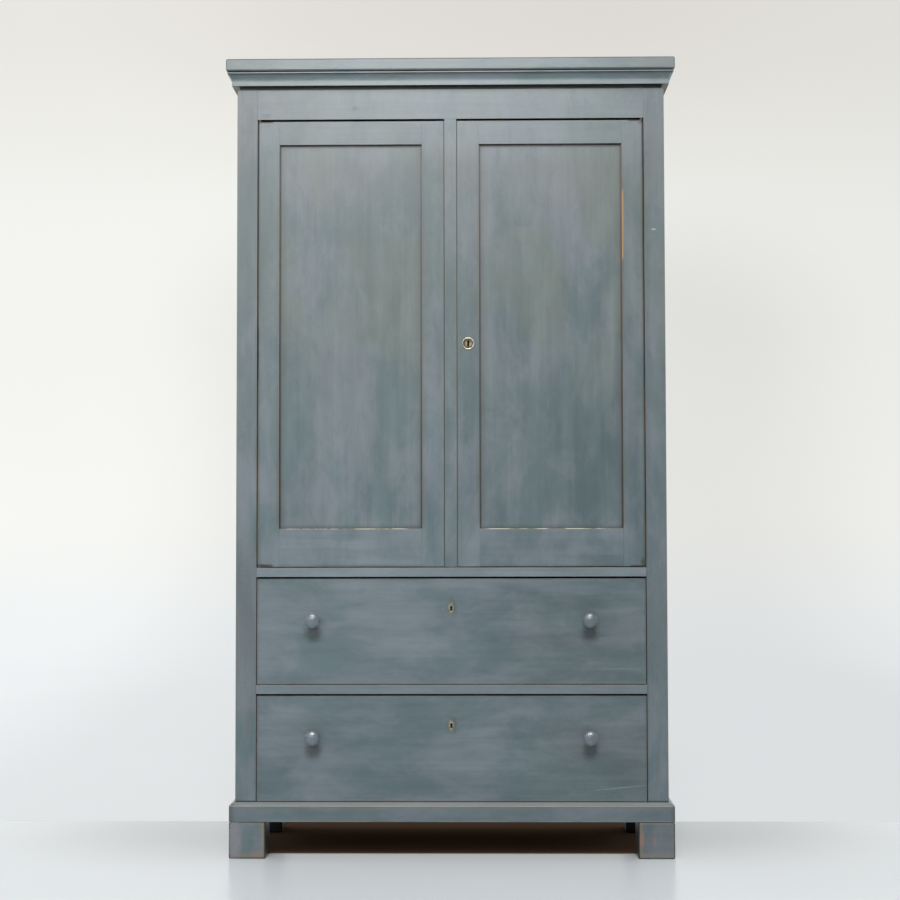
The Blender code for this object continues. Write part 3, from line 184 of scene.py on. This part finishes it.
class Graph:
    """A material whose nodes are written as plain calls."""

    def __init__(self, name):
        self.material = bpy.data.materials.new(name)
        self.material.use_nodes = True
        self.tree = self.material.node_tree
        self.tree.nodes.clear()
        output = self.tree.nodes.new("ShaderNodeOutputMaterial")
        self.shader = self.tree.nodes.new("ShaderNodeBsdfPrincipled")
        self.tree.links.new(self.shader.outputs[0], output.inputs[0])
        coordinates = self.tree.nodes.new("ShaderNodeTexCoord")
        self.place = coordinates.outputs["Object"]
        self.facing = coordinates.outputs["Normal"]
        self.parts = {}

    def put(self, socket, value):
        if isinstance(value, bpy.types.NodeSocket):
            self.tree.links.new(value, socket)
        elif hasattr(value, "__len__") and len(value) == 3 and len(socket.default_value) == 4:
            socket.default_value = (*value, 1.0)
        else:
            socket.default_value = value

    def add(self, kind, values, **settings):
        node = self.tree.nodes.new(kind)
        for key, value in settings.items():
            setattr(node, key, value)
        for key, value in values.items():
            self.put(node.inputs[key], value)
        return node

    def math(self, operation, *values):
        return self.add("ShaderNodeMath", dict(enumerate(values)), operation=operation).outputs[0]

    def product(self, *values):
        total = values[0]
        for value in values[1:]:
            total = self.math("MULTIPLY", total, value)
        return total

    def total(self, *values):
        total = values[0]
        for value in values[1:]:
            total = self.math("ADD", total, value)
        return total

    def vector(self, operation, *values):
        return self.add("ShaderNodeVectorMath", dict(enumerate(values)), operation=operation).outputs[0]

    def span(self, value, low, high, to_low=0.0, to_high=1.0):
        return self.add("ShaderNodeMapRange", {0: value, 1: low, 2: high, 3: to_low, 4: to_high},
                        interpolation_type="SMOOTHSTEP").outputs[0]

    def mix(self, share, first, second, kind="MIX"):
        node = self.tree.nodes.new("ShaderNodeMix")
        node.data_type = "RGBA"
        node.blend_type = kind
        self.put(node.inputs[0], share)
        self.put(node.inputs[6], first)
        self.put(node.inputs[7], second)
        return node.outputs[2]

    def noise(self, scale, shift=(0.0, 0.0, 0.0), detail=2.0, rough=0.5, distort=0.0):
        spread = self.vector("MULTIPLY_ADD", self.place, scale, shift)
        return self.add("ShaderNodeTexNoise", {"Vector": spread, "Scale": 1.0, "Detail": detail,
                                               "Roughness": rough, "Distortion": distort}).outputs[0]

    def axis(self, index, source="place"):
        if source not in self.parts:
            self.parts[source] = self.add("ShaderNodeSeparateXYZ", {0: getattr(self, source)})
        return self.parts[source].outputs[index]

    def scaled(self, color, share):
        grey = self.add("ShaderNodeCombineColor", {0: share, 1: share, 2: share}).outputs[0]
        return self.mix(1.0, color, grey, "MULTIPLY")

    def bump(self, height, distance, strength):
        bump = self.add("ShaderNodeBump", {"Height": height, "Distance": distance, "Strength": strength})
        self.put(self.shader.inputs["Normal"], bump.outputs[0])


def along(axis, scales):
    """Scales of a pattern that is drawn out along one axis."""
    return tuple(scales[0] if i == axis else scales[1] for i in range(3))


def some_shift():
    return tuple(seeds.uniform(0, 50) for _ in range(3))


def edge_share(g, edge, patches):
    """How much one marked edge shows: full on its line, gone at its reach, and only between its ends."""
    axis, place, side, reach, amount, start, end = edge
    away = g.math("MULTIPLY", g.math("SUBTRACT", g.axis(axis), place), float(side))
    share = [g.span(away, 0.0, reach, amount, 0.0), g.math("GREATER_THAN", away, -EDGE_OVERLAP), patches]
    other = g.axis(2 - axis)
    if start is not None:
        share.append(g.span(other, start, start + END_SOFTNESS))
        share.append(g.span(other, end, end - END_SOFTNESS))
    return g.product(*share)


def spot_share(g, spot, wobble):
    """A soft-edged oval mark on the front."""
    x, z, half_wide, half_high, soft, *slope = spot
    beside = g.math("SUBTRACT", g.axis(0), x)
    above = g.math("SUBTRACT", g.axis(2), z)
    if slope:
        above = g.math("SUBTRACT", above, g.product(beside, slope[0]))
    across, up = g.math("DIVIDE", beside, half_wide), g.math("DIVIDE", above, half_high)
    away = g.math("SQRT", g.total(g.product(across, across), g.product(up, up)))
    return g.span(g.total(away, wobble), 1.0 + soft, 1.0 - soft)


def paint(node, grain, marks=(), spots=(), shade=1.0, wear=0.25, dust_and_sheen=0.5, violet=0.1, green=0.3, flat=False,
          bare_side=None, gloss=(0.31, 0.41)):
    """Brushed blue-grey paint with worn and grimy edges, painted light and shade over broad areas and in gaps,
    dust and a painted sheen on what faces up, painted shade on what faces down, and bare wood on the faces that
    look back.
    """
    g = Graph("paint_" + node)
    streak_at, fine_at = some_shift(), some_shift()
    cloud_scale, mottle_scale = (CLOUD_ACROSS, MOTTLE_ACROSS) if flat else (CLOUD_UP, MOTTLE_UP)
    cloud = g.noise(cloud_scale, CLOUD_AT, 4.0, 0.6, 0.5)
    tint = g.noise(cloud_scale, TINT_AT, 3.0, 0.55, 0.3)
    wash = g.noise(along(grain, WASH), streak_at, 2.0, 0.5, 0.3)
    streak = g.noise(along(grain, STREAKS), streak_at, 4.0, 0.6)
    fine = g.noise(along(grain, HAIRS), fine_at, 2.0, 0.5)
    mottle = g.noise(mottle_scale, MOTTLE_AT, 6.0, 0.68, 0.6)
    x, z = g.axis(0), g.axis(2)
    # Painted light and shade, with a slight hue shift: lighter low on the left and darker low on the right, a
    # painted sheen at the top middle, lighter at the doors' lower ends
    low = g.product(g.span(z, *LIFT_LOW), g.span(z, *LIFT_HIGH), g.span(x, *LIFT_SIDE))
    top = g.product(g.span(z, *TOP_RISE), g.span(x, *TOP_LEFT), g.span(x, *TOP_RIGHT))
    foot = g.product(g.span(z, *FOOT_RISE), g.span(z, *FOOT_FALL), g.span(g.math("ABSOLUTE", x), *FOOT_SIDE))
    hue = g.total(g.product(cloud, 0.75), g.product(mottle, 0.25), g.product(low, LIFT_HUE),
                  g.product(top, TOP_HUE))
    color = g.mix(g.span(hue, 0.43, 0.60, violet, 0.8), BLUE, VIOLET)
    color = g.mix(g.product(g.span(tint, 0.40, 0.60), g.span(z, *GREEN_RISE), green), color, GREEN)
    value = g.total(g.span(cloud, *CLOUD_VALUE), g.span(mottle, *MOTTLE_VALUE), g.span(wash, *WASH_VALUE),
                    g.span(streak, *STREAK_VALUE), g.span(fine, *FINE_VALUE), g.product(low, LIFT),
                    g.product(top, TOP_PAINTED_SHEEN), g.product(foot, FOOT_PAINTED_LIGHT), shade)
    color = g.scaled(color, value)
    patches = g.noise((7.0, 7.0, 7.0), fine_at, 3.0, 0.6)
    soft = g.span(patches, 0.30, 0.65, 0.5, 1.0)
    chips = g.span(g.noise((16.0, 16.0, 16.0), streak_at, 5.0, 0.65), 0.40, 0.58)
    broken = {"grime": soft, "glaze": soft, "ochre": soft, "tan": g.span(patches, 0.38, 0.58, 0.15, 1.0),
              "crevice": g.span(patches, 0.30, 0.65, 0.85, 1.0)}
    steep = g.math("ABSOLUTE", g.axis(0, "facing"))
    for index in (1, 2):
        steep = g.math("MAXIMUM", steep, g.math("ABSOLUTE", g.axis(index, "facing")))
    if wear:  # rounded corners between faces are rubbed
        rubbed = g.product(g.span(steep, *ROUNDED), g.span(patches, 0.35, 0.60, 0.2, 1.0), wear)
        color = g.mix(rubbed, color, MARKS["glaze"])
    if dust_and_sheen:  # dust and a painted sheen lie on what faces up
        color = g.mix(g.span(g.axis(2, "facing"), *FACES_UP, 0.0, dust_and_sheen), color, MARKS["pale"])
    for kind, edge in marks:
        color = g.mix(edge_share(g, edge, broken.get(kind, chips)), color, MARKS[kind])
    for kind, amount, spot in spots:
        wobble = g.span(g.noise((160.0, 160.0, 160.0), streak_at, 3.0, 0.6), 0.2, 0.8, -0.4, 0.4)
        color = g.mix(g.product(spot_share(g, spot, wobble), amount), color, MARKS[kind])
    wood = g.mix(g.span(streak, 0.3, 0.7), BARE_DARK, BARE_LIGHT)
    color = g.mix(g.span(g.axis(1, "facing"), *FACES_AWAY), color, wood)
    if bare_side:
        inward = g.math("MULTIPLY", g.axis(0, "facing"), float(bare_side))
        color = g.mix(g.span(inward, *FACES_AWAY), color, wood)
    # painted shade on faces that look down
    color = g.mix(g.span(g.axis(2, "facing"), *FACES_DOWN), color, UNDERSIDE_SHADE)
    g.put(g.shader.inputs["Base Color"], color)
    g.put(g.shader.inputs["Roughness"], g.span(wash, 0.3, 0.7, *gloss))
    g.put(g.shader.inputs["Specular IOR Level"], PAINT_SPECULAR)
    g.bump(g.total(g.product(streak, 0.7), g.product(fine, 0.3)), *PAINT_BUMP)
    return g.material


def bare_wood(node, grain):
    """Old pine: bent growth lines along the board, fine fibres, and a tone uneven with age."""
    g = Graph("pine_" + node)
    base, fine_at = some_shift(), some_shift()
    bend = g.noise(along(grain, (0.35, 7.0)), base, 2.0, 0.45, 0.2)
    rings = g.math("SINE", g.product(bend, 90.0))
    fine = g.noise(along(grain, (6.0, 380.0)), fine_at, 3.0, 0.6)
    age = g.noise((2.5, 2.5, 2.5), base, 3.0, 0.6)
    color = g.mix(g.span(rings, -1.0, 1.0, 0.15, 0.75), PINE_LIGHT, PINE_DARK)
    color = g.scaled(color, g.total(g.span(fine, 0.25, 0.75, -0.10, 0.10), g.span(age, 0.3, 0.7, 0.82, 1.06)))
    if node == "bottom_board":
        # painted shade on the bottom board's underside
        color = g.mix(g.span(g.axis(2, "facing"), *FACES_DOWN), color, UNDERSIDE_SHADE)
    g.put(g.shader.inputs["Base Color"], color)
    g.put(g.shader.inputs["Roughness"], g.span(fine, 0.3, 0.7, 0.58, 0.70))
    g.bump(fine, *PINE_BUMP)
    return g.material


def metal(name, dark, light, rough, metallic):
    g = Graph(name)
    patina = g.noise((120.0, 120.0, 120.0), some_shift(), 4.0, 0.6)
    color = g.mix(g.span(patina, 0.35, 0.65), dark, light)
    if name == "brass_door_escutcheon":
        low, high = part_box("door_escutcheon")
        middle, radius = (low + high) / 2, (high.x - low.x) / 2
        ragged = g.span(patina, 0.2, 0.8, -0.06, 0.06)
        dish = spot_share(g, (middle.x, middle.z, *[radius * DISH_SHARE] * 2, 0.10), ragged)
        tarnish = spot_share(g, (middle.x, middle.z, *[radius * INNER_SHARE] * 2, 0.12), 0.0)
        color = g.mix(dish, color, BRASS_GRIME)
        color = g.mix(g.product(tarnish, g.span(patina, 0.3, 0.7, 0.5, 1.0)), color, BRASS_BROWN)
    g.put(g.shader.inputs["Base Color"], color)
    g.put(g.shader.inputs["Metallic"], metallic)
    g.put(g.shader.inputs["Roughness"], g.span(patina, 0.3, 0.7, rough - 0.08, rough + 0.08))
    g.bump(patina, *METAL_BUMP)
    return g.material


def add_mesh(name, faces, verts):
    mesh = bpy.data.meshes.new(name)
    mesh.from_pydata(verts, [], faces)
    mesh.update()
    thing = bpy.data.objects.new(name, mesh)
    bpy.context.scene.collection.objects.link(thing)
    return thing


def give_light(g, color):
    """Make a surface matte, with light of its own."""
    g.put(g.shader.inputs["Emission Color"], color)
    g.put(g.shader.inputs["Emission Strength"], 1.0)
    g.put(g.shader.inputs["Roughness"], 0.9)
    g.put(g.shader.inputs["Specular IOR Level"], 0.0)


def floor_color(g):
    """Pale and glossy, with a painted shadow under the press, where it is also dull, and painted shade beside
    it.
    """
    side, front = g.math("ABSOLUTE", g.axis(0)), g.axis(1)
    inside = g.product(g.span(side, *UNDER_SIDE), g.span(front, *UNDER_FRONT))
    beside = g.product(g.span(side, *BESIDE_SIDE), g.span(front, *BESIDE_FRONT))
    g.put(g.shader.inputs["Roughness"], g.span(inside, 0.0, 1.0, *FLOOR_ROUGHNESS))
    g.put(g.shader.inputs["Specular IOR Level"], g.span(inside, 0.0, 1.0, *FLOOR_SPECULAR))
    return g.mix(inside, g.scaled(FLOOR, g.span(beside, 0.0, 1.0, 1.0, BESIDE_SHARE)), FLOOR_SHADOW_UNDER)


def sweep_color(g):
    """White with painted light of its own, which is warmer and dimmer high up and falls off to the right, and a
    painted shadow of the press behind it.
    """
    rise, across = g.axis(2), g.axis(0)
    high = g.product(g.span(rise, *HIGH_RISE), g.span(g.math("ABSOLUTE", across), *HIGH_SIDE))
    away = g.math("ABSOLUTE", g.math("SUBTRACT", across, SHADED_MIDDLE))
    shaded = g.product(g.span(away, *SHADED_SIDE), g.span(rise, *SHADED_RISE))
    glow = g.mix(high, g.mix(g.span(rise, *GLOW_RISE), WHITE_LOW, WHITE_GLOW), WHITE_HIGH)
    fall = g.product(g.span(across, *RIGHT_FALL), g.span(shaded, 0.0, 1.0, 1.0, SHADED_SHARE))
    give_light(g, g.scaled(glow, fall))
    return WHITE


def surround_color(g):
    """Nothing but plain light of its own."""
    give_light(g, SURROUND)
    return (0.0, 0.0, 0.0)


def build_room():
    """A pale glossy floor, a sweep that rises far behind it, and a surround that only the camera sees."""
    half = FLOOR_HALF
    floor = add_mesh("floor", [(0, 1, 2, 3)], [(-half, -half, 0), (half, -half, 0), (half, FLOOR_END, 0),
                                              (-half, FLOOR_END, 0)])
    turns = [math.radians(90) * step / SWEEP_STEPS for step in range(SWEEP_STEPS + 1)]
    curve = [(SWEEP_RISE + SWEEP_RADIUS * math.sin(turn), SWEEP_RADIUS * (1 - math.cos(turn)))
             for turn in turns]
    line = [(FLOOR_END, 0.0), *curve, (SWEEP_RISE + SWEEP_RADIUS, SWEEP_TOP)]
    rows = range(len(line) - 1)
    sweep = add_mesh("sweep", [(2 * i, 2 * i + 1, 2 * i + 3, 2 * i + 2) for i in rows],
                     [(side * half, y, z) for y, z in line for side in (-1, 1)])
    ring = [math.radians(360) * step / SURROUND_STEPS for step in range(SURROUND_STEPS)]
    ends = [(i, (i + 1) % SURROUND_STEPS) for i in range(SURROUND_STEPS)]
    surround = add_mesh("surround", [(2 * i, 2 * j, 2 * j + 1, 2 * i + 1) for i, j in ends],
                        [(SURROUND_RADIUS * math.sin(turn), SURROUND_RADIUS * math.cos(turn), z)
                         for turn in ring for z in (-SURROUND_RADIUS, SURROUND_RADIUS)])
    surround.visible_diffuse = surround.visible_glossy = surround.visible_shadow = False
    for thing, color_of in ((floor, floor_color), (sweep, sweep_color), (surround, surround_color)):
        for face in thing.data.polygons:
            face.use_smooth = thing is sweep
        g = Graph(thing.name)
        cloud = g.span(g.noise(ROOM_CLOUD, ROOM_CLOUD_AT, 2.0, 0.5), 0.3, 0.7, 0.98, 1.02)
        g.put(g.shader.inputs["Base Color"], g.scaled(color_of(g), cloud))
        thing.data.materials.append(g.material)


def add_area(name, place, aim, size, power, color, gloss_only):
    light = bpy.data.lights.new(name, "AREA")
    light.shape = "RECTANGLE"
    light.size, light.size_y = size
    light.energy = power
    light.color = color
    lamp = bpy.data.objects.new(name, light)
    lamp.visible_diffuse = not gloss_only
    lamp.visible_camera = False
    lamp.location = place
    lamp.rotation_euler = (Vector(aim) - Vector(place)).to_track_quat("-Z", "Y").to_euler()
    bpy.context.scene.collection.objects.link(lamp)


def build_light():
    world = bpy.data.worlds.new("studio")
    bpy.context.scene.world = world
    world.use_nodes = True
    tree = world.node_tree
    background = tree.nodes["Background"]
    background.inputs[0].default_value = (*SKY_COLOR, 1.0)
    sky = tree.nodes.new("ShaderNodeTexCoord")
    height = tree.nodes.new("ShaderNodeSeparateXYZ")
    tree.links.new(sky.outputs["Generated"], height.inputs[0])
    rise = tree.nodes.new("ShaderNodeMapRange")
    rise.inputs[1].default_value, rise.inputs[2].default_value = 0.0, SKY_RISE
    rise.inputs[3].default_value, rise.inputs[4].default_value = SKY_LOW, SKY_HIGH
    tree.links.new(height.outputs[2], rise.inputs[0])
    tree.links.new(rise.outputs[0], background.inputs[1])
    for name, settings in LAMPS.items():
        add_area(name, *settings)
    sun = bpy.data.lights.new("sun", "SUN")
    sun.energy, sun.angle = SUN_POWER, math.radians(SUN_SPREAD)
    sun.color = SUN_COLOR
    lamp = bpy.data.objects.new("sun", sun)
    lamp.rotation_euler = (-Vector(SUN_FROM)).to_track_quat("-Z", "Y").to_euler()
    bpy.context.scene.collection.objects.link(lamp)


def build_camera():
    data = bpy.data.cameras.new("camera")
    data.lens = LENS
    data.sensor_width = 36.0
    camera = bpy.data.objects.new("camera", data)
    pitch, yaw, roll = (math.radians(a) for a in CAMERA_TURN)
    turn = Matrix.Rotation(yaw, 4, "Z") @ Matrix.Rotation(pitch, 4, "X") @ Matrix.Rotation(roll, 4, "Z")
    camera.matrix_world = Matrix.Translation(CAMERA_PLACE) @ turn
    bpy.context.scene.collection.objects.link(camera)
    bpy.context.scene.camera = camera


def mark(kind, axis, place, side, reach, amount, start=None, end=None):
    """A mark along a line: the axis it is measured on, where it starts, which way it fades and how far."""
    return kind, (axis, place, side, reach, amount, start, end)


def worn_and_shaded_line(place, side, grime, tan, ends=()):
    """Grime and painted shade along an upright line with a narrower rub over it; each is given as its reach and
    its amount.
    """
    return [mark("grime", 0, place, side, *grime, *ends), mark("tan", 0, place, side, *tan, *ends)]


def door_wear_and_shade(side):
    """Grime and painted shade in the corners and along the edges of the five pieces of one door, and a few
    rubbed lines.
    """
    hinge, meeting, top, bottom = (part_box(f"door_{side}_{part}") for part in
                                   ("hinge_stile", "meeting_stile", "top_rail", "bottom_rail"))
    if side == "right":
        out = 1  # towards the hinges
        hinge_edge, hinge_line = hinge[1].x, hinge[0].x
        meeting_edge, meeting_line = meeting[0].x, meeting[1].x
    else:
        out = -1
        hinge_edge, hinge_line = hinge[0].x, hinge[1].x
        meeting_edge, meeting_line = meeting[1].x, meeting[0].x
    low, high = bottom[1].z, top[0].z
    low_x, high_x = sorted((hinge_line, meeting_line))
    lines = ((hinge_line, out), (meeting_line, -out))
    return {
        f"door_{side}_hinge_stile": dict(marks=[
            *worn_and_shaded_line(hinge_edge, -out, (0.011, 0.60), (0.006, 0.75)),
            *worn_and_shaded_line(hinge_line, out, (0.010, 0.35), (0.005, 0.45), (low, high))]),
        f"door_{side}_meeting_stile": dict(marks=[
            *worn_and_shaded_line(meeting_edge, out, (0.004, 0.5), (0.0035, 0.4)),
            *worn_and_shaded_line(meeting_line, -out, (0.010, 0.35), (0.005, 0.4), (low, high))]),
        f"door_{side}_top_rail": dict(shade=1.0, violet=0.3, marks=[
            mark("grime", 2, top[1].z, -1, 0.004, 0.4)]),
        f"door_{side}_bottom_rail": dict(shade=1.03, violet=0.3, marks=[
            mark("grime", 2, bottom[0].z, 1, 0.010, 0.45), mark("glaze", 2, low, -1, 0.007, 0.5),
            mark("cream", 2, low, -1, 0.0030, 1.2, low_x + 0.01, high_x - 0.03)]),
        f"door_{side}_panel": dict(
            green=0.8, spots=[("mist", 0.24, ((low_x + high_x) / 2, high - 0.075, 0.130, 0.085, 0.95))],
            # grime and painted shade along the panel's edges, and a painted shadow under the top rail
            marks=[*(mark("grime", 0, line, -way, 0.026, 0.40) for line, way in lines),
                   mark("grime", 2, low, 1, 0.014, 0.45), mark("grime", 2, high, -1, 0.012, 0.4),
                   *(mark("crevice", 0, line, -way, 0.0075, 1.2) for line, way in lines),
                   mark("crevice", 2, low, 1, 0.0030, 0.6), mark("crevice", 2, high, -1, 0.0100, 1.3)]),
    }


def drawer_wear_and_shade(name):
    low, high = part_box(name)
    key = high.z - DRAWER_KEYHOLE_DOWN
    knobs = [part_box(name.replace("front", "knob_" + side)) for side in ("left", "right")]
    # painted shadows under the knobs
    under = [("grime", 0.40, ((a.x + b.x) / 2, a.z - 0.016, 0.020, 0.018, 0.7)) for a, b in knobs]
    return {name: dict(
        flat=True, shade=1.06, violet=0.25,
        # grime and painted shade in the gaps round the front, and rubbed edges
        marks=[mark("grime", 0, low.x, 1, 0.008, 0.5), mark("grime", 0, high.x, -1, 0.008, 0.45),
               mark("grime", 2, high.z, -1, 0.005, 0.6), mark("glaze", 2, low.z, 1, 0.008, 0.35),
               mark("tan", 0, low.x, 1, 0.004, 0.6), mark("tan", 0, high.x, -1, 0.004, 0.3)],
        spots=[*under, ("grime", 0.55, (0.0020, key + 0.002, 0.0125, 0.0200, 0.45)),
               ("glaze", 0.60, (-0.0010, key + 0.001, 0.0090, 0.0180, 0.35)),
               ("cream", 0.22, (-0.0010, key + 0.004, 0.0060, 0.0080, 0.5)),
               ("cream", 0.30, (-0.0005, key - 0.0085, 0.0035, 0.0030, 0.5))])}


def front_foot_wear_and_shade(name):
    """Rubbed edges, most of all the inner ones, painted shade along the edges and a few stains; the left foot
    is paler.
    """
    low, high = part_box(name)
    middle = (low.x + high.x) / 2
    if "left" in name:
        shade, right_rub, left_rub = 1.0, 0.8, 0.3
        spots = [("mist", 0.75, (low.x + 0.016, 0.050, 0.016, 0.055, 0.5)),
                 ("rust", 0.45, (middle + 0.026, 0.013, 0.014, 0.007, 0.9)),
                 ("rust", 0.3, (middle - 0.012, 0.008, 0.018, 0.004, 0.9))]
    else:
        shade, right_rub, left_rub = 0.77, 0.3, 0.7
        spots = [("mist", 0.2, (middle + 0.015, 0.040, 0.030, 0.045, 0.5)),
                 ("rust", 0.45, (low.x + 0.010, 0.050, 0.006, 0.018, 0.5)),
                 ("rust", 0.35, (middle - 0.006, 0.042, 0.004, 0.010, 0.5))]
    return dict(dust_and_sheen=0.0, shade=shade, spots=spots, marks=[
        mark("glaze", 0, high.x - 0.003, -1, 0.018, right_rub),
        mark("glaze", 0, low.x + 0.003, 1, 0.012, left_rub),
        mark("glaze", 2, low.z + 0.003, 1, 0.020, 0.7), mark("tan", 2, high.z - 0.003, -1, 0.007, 0.5),
        mark("crevice", 0, low.x, 1, 0.006, 1.2), mark("crevice", 0, high.x, -1, 0.006, 1.0),
        mark("crevice", 2, low.z, 1, 0.006, 1.2), mark("crevice", 2, high.z, -1, 0.0035, 0.9)])


def wear_and_shade_of_all():
    """What every painted piece is given besides the plain paint: wear, dirt, and painted light and shade."""
    wear = {**door_wear_and_shade("left"), **door_wear_and_shade("right"),
            **drawer_wear_and_shade("drawer_upper_front"), **drawer_wear_and_shade("drawer_lower_front")}
    # Where single edges of the doors are worn most, painted shade along part of the left door's hinge edge, and
    # painted dark ends where their pins are let in
    hinge_left, hinge_right = wear["door_left_hinge_stile"], wear["door_right_hinge_stile"]
    left_edge, right_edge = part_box("door_left_hinge_stile")[0].x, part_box("door_right_hinge_stile")[0].x
    hinge_left["marks"].append(mark("crevice", 0, left_edge, 1, 0.007, 0.8, 1.24, 1.40))
    hinge_right["marks"].append(mark("ochre", 0, right_edge, 1, 0.007, 1.4, 1.56, 1.76))
    hinge_left["spots"] = [("crevice", 0.9, (-0.491, 0.7605, 0.022, 0.0034, 0.5))]
    hinge_right["spots"] = [("crevice", 0.7, (0.503, 1.932, 0.005, 0.006, 0.5)),
                            ("crevice", 0.6, (0.503, 0.768, 0.006, 0.010, 0.5))]
    # Painted shade at the right-hand ends, and a scratch on each drawer
    wear["drawer_upper_front"]["spots"] += [("grime", 0.16, (0.360, 0.540, 0.170, 0.110, 0.95)),
                                            ("pale", 0.30, (0.445, 0.490, 0.050, 0.0011, 0.5))]
    wear["drawer_lower_front"]["spots"] += [("grime", 0.26, (0.420, 0.240, 0.170, 0.110, 0.95)),
                                            ("pale", 0.45, (0.440, 0.1815, 0.070, 0.0012, 0.5, 0.094))]
    # The drawer rails are painted lighter, with a painted highlight and dust along their top edges
    for name, shade in (("drawer_rail_upper", 1.36), ("drawer_rail_lower", 1.20)):
        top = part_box(name)[1].z
        wear[name] = dict(flat=True, shade=shade, violet=0.7, marks=[
            mark("glaze", 2, top, -1, 0.010, 0.4), mark("pale", 2, top, -1, 0.003, 0.4)])
    for side, inward in (("left", 1), ("right", -1)):
        low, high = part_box("stile_" + side)
        inside, outside = (high.x, low.x) if side == "left" else (low.x, high.x)
        # grime and painted shade along the inner edge and in the crease above the base, and a rubbed outer edge
        wear["stile_" + side] = dict(marks=[
            mark("grime", 0, inside, -inward, 0.005, 0.4, low.z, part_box("frieze_rail")[0].z),
            mark("glaze", 0, outside, inward, 0.006, 0.6),
            mark("crevice", 2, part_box("base_moulding_front")[1].z, 1, 0.006, 1.3)])
    # Painted shade high on both stiles and low on the left one, and painted light midway on both and low on the
    # right one; the right one also has a chip
    wear["stile_left"]["spots"] = [("grime", 0.22, (-0.538, 1.880, 0.090, 0.110, 0.9)),
                                   ("grime", 0.28, (-0.538, 0.580, 0.090, 0.190, 0.9)),
                                   ("mist", 0.12, (-0.538, 1.330, 0.090, 0.300, 0.9))]
    wear["stile_right"]["spots"] = [("cream", 0.45, (0.5366, 1.6458, 0.0050, 0.0026, 0.7)),  # a chip
                                    ("grime", 0.20, (0.538, 1.880, 0.090, 0.110, 0.9)),
                                    ("mist", 0.25, (0.538, 0.620, 0.090, 0.170, 0.9)),
                                    ("mist", 0.12, (0.538, 1.250, 0.090, 0.350, 0.9))]
    wear["centre_post"] = dict(marks=[mark("tan", 0, -POST_HALF, 1, 0.0035, 0.4),
                                      mark("tan", 0, POST_HALF, -1, 0.0035, 0.4)])
    for side in ("front", "left", "right"):
        low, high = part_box("cornice_cove_" + side)
        # The cove is painted lighter, and holds painted shade under the cap
        wear["cornice_cove_" + side] = dict(flat=True, wear=0.0, dust_and_sheen=0.0, shade=1.3, marks=[
            mark("grime", 2, high.z, -1, 0.016, 0.5), mark("crevice", 2, high.z, -1, 0.004, 1.0)])
        low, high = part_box("base_moulding_" + side)
        # dust and a painted sheen on what faces up, and painted shade in the crease along the top
        wear["base_moulding_" + side] = dict(flat=True, wear=0.0, dust_and_sheen=0.50, violet=0.3, shade=0.97, marks=[
            mark("glaze", 2, high.z - 0.006, -1, 0.016, 0.5),
            mark("grime", 2, high.z - 0.008, -1, 0.004, 0.5),
            mark("pale", 2, low.z, 1, 0.004, 0.3)])
        if side == "front":
            wear["base_moulding_front"]["marks"] += [mark("grime", 0, low.x, 1, 0.020, 0.6),
                                                     mark("grime", 0, high.x, -1, 0.012, 0.6)]
    wear["cornice_cap"] = dict(flat=True, wear=0.1, dust_and_sheen=0.3, shade=1.04)
    wear["frieze_rail"] = dict(shade=1.04, violet=0.4, spots=[
        ("grime", 0.35, (-0.252, 1.972, 0.009, 0.007, 0.5)),
        ("grime", 0.3, (-0.488, 1.953, 0.012, 0.006, 0.5))])
    for name in NODES:
        if "knob" in name:
            wear[name] = dict(wear=0.0, shade=1.05, violet=0.85, green=0.0, gloss=(0.28, 0.36), dust_and_sheen=0.0)
        elif name.startswith("foot_rear"):
            # painted shadow: the rear feet are darkened almost to black
            wear[name] = dict(shade=0.12, wear=0.0, dust_and_sheen=0.0)
        elif name.startswith("foot_"):
            wear[name] = front_foot_wear_and_shade(name)
    wear["side_left"], wear["side_right"] = dict(bare_side=1), dict(bare_side=-1)
    # Painted shade in the groove under the cornice
    groove_shade = mark("crevice", 2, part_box("cornice_cove_front")[0].z - GROOVE_DOWN, 1, 0.040, 1.0)
    for name in ("frieze_rail", "stile_left", "stile_right", "side_left", "side_right"):
        wear[name].setdefault("marks", []).append(groove_shade)
    return wear


def dress():
    """Give every piece its own material, with the grain along its longest side."""
    wear = wear_and_shade_of_all()
    for name, node in NODES.items():
        slot = node.material_slots[0].material.name
        low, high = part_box(name)
        size = high - low
        grain = max(range(3), key=lambda i: size[i])
        if slot == "painted_pine":
            material = paint(name, grain, **wear.get(name, {}))
        elif slot == "bare_pine":
            material = bare_wood(name, grain)
        elif slot == "iron":
            material = metal("iron_" + name, IRON_DARK, IRON_LIGHT, 0.55, 0.6)
        else:
            material = metal("brass_" + name, BRASS_DARK, BRASS_LIGHT, 0.42, 0.6)
        node.material_slots[0].material = material


bpy.context.scene.view_settings.view_transform = "Standard"
build_camera()
build_room()
build_light()
dress()
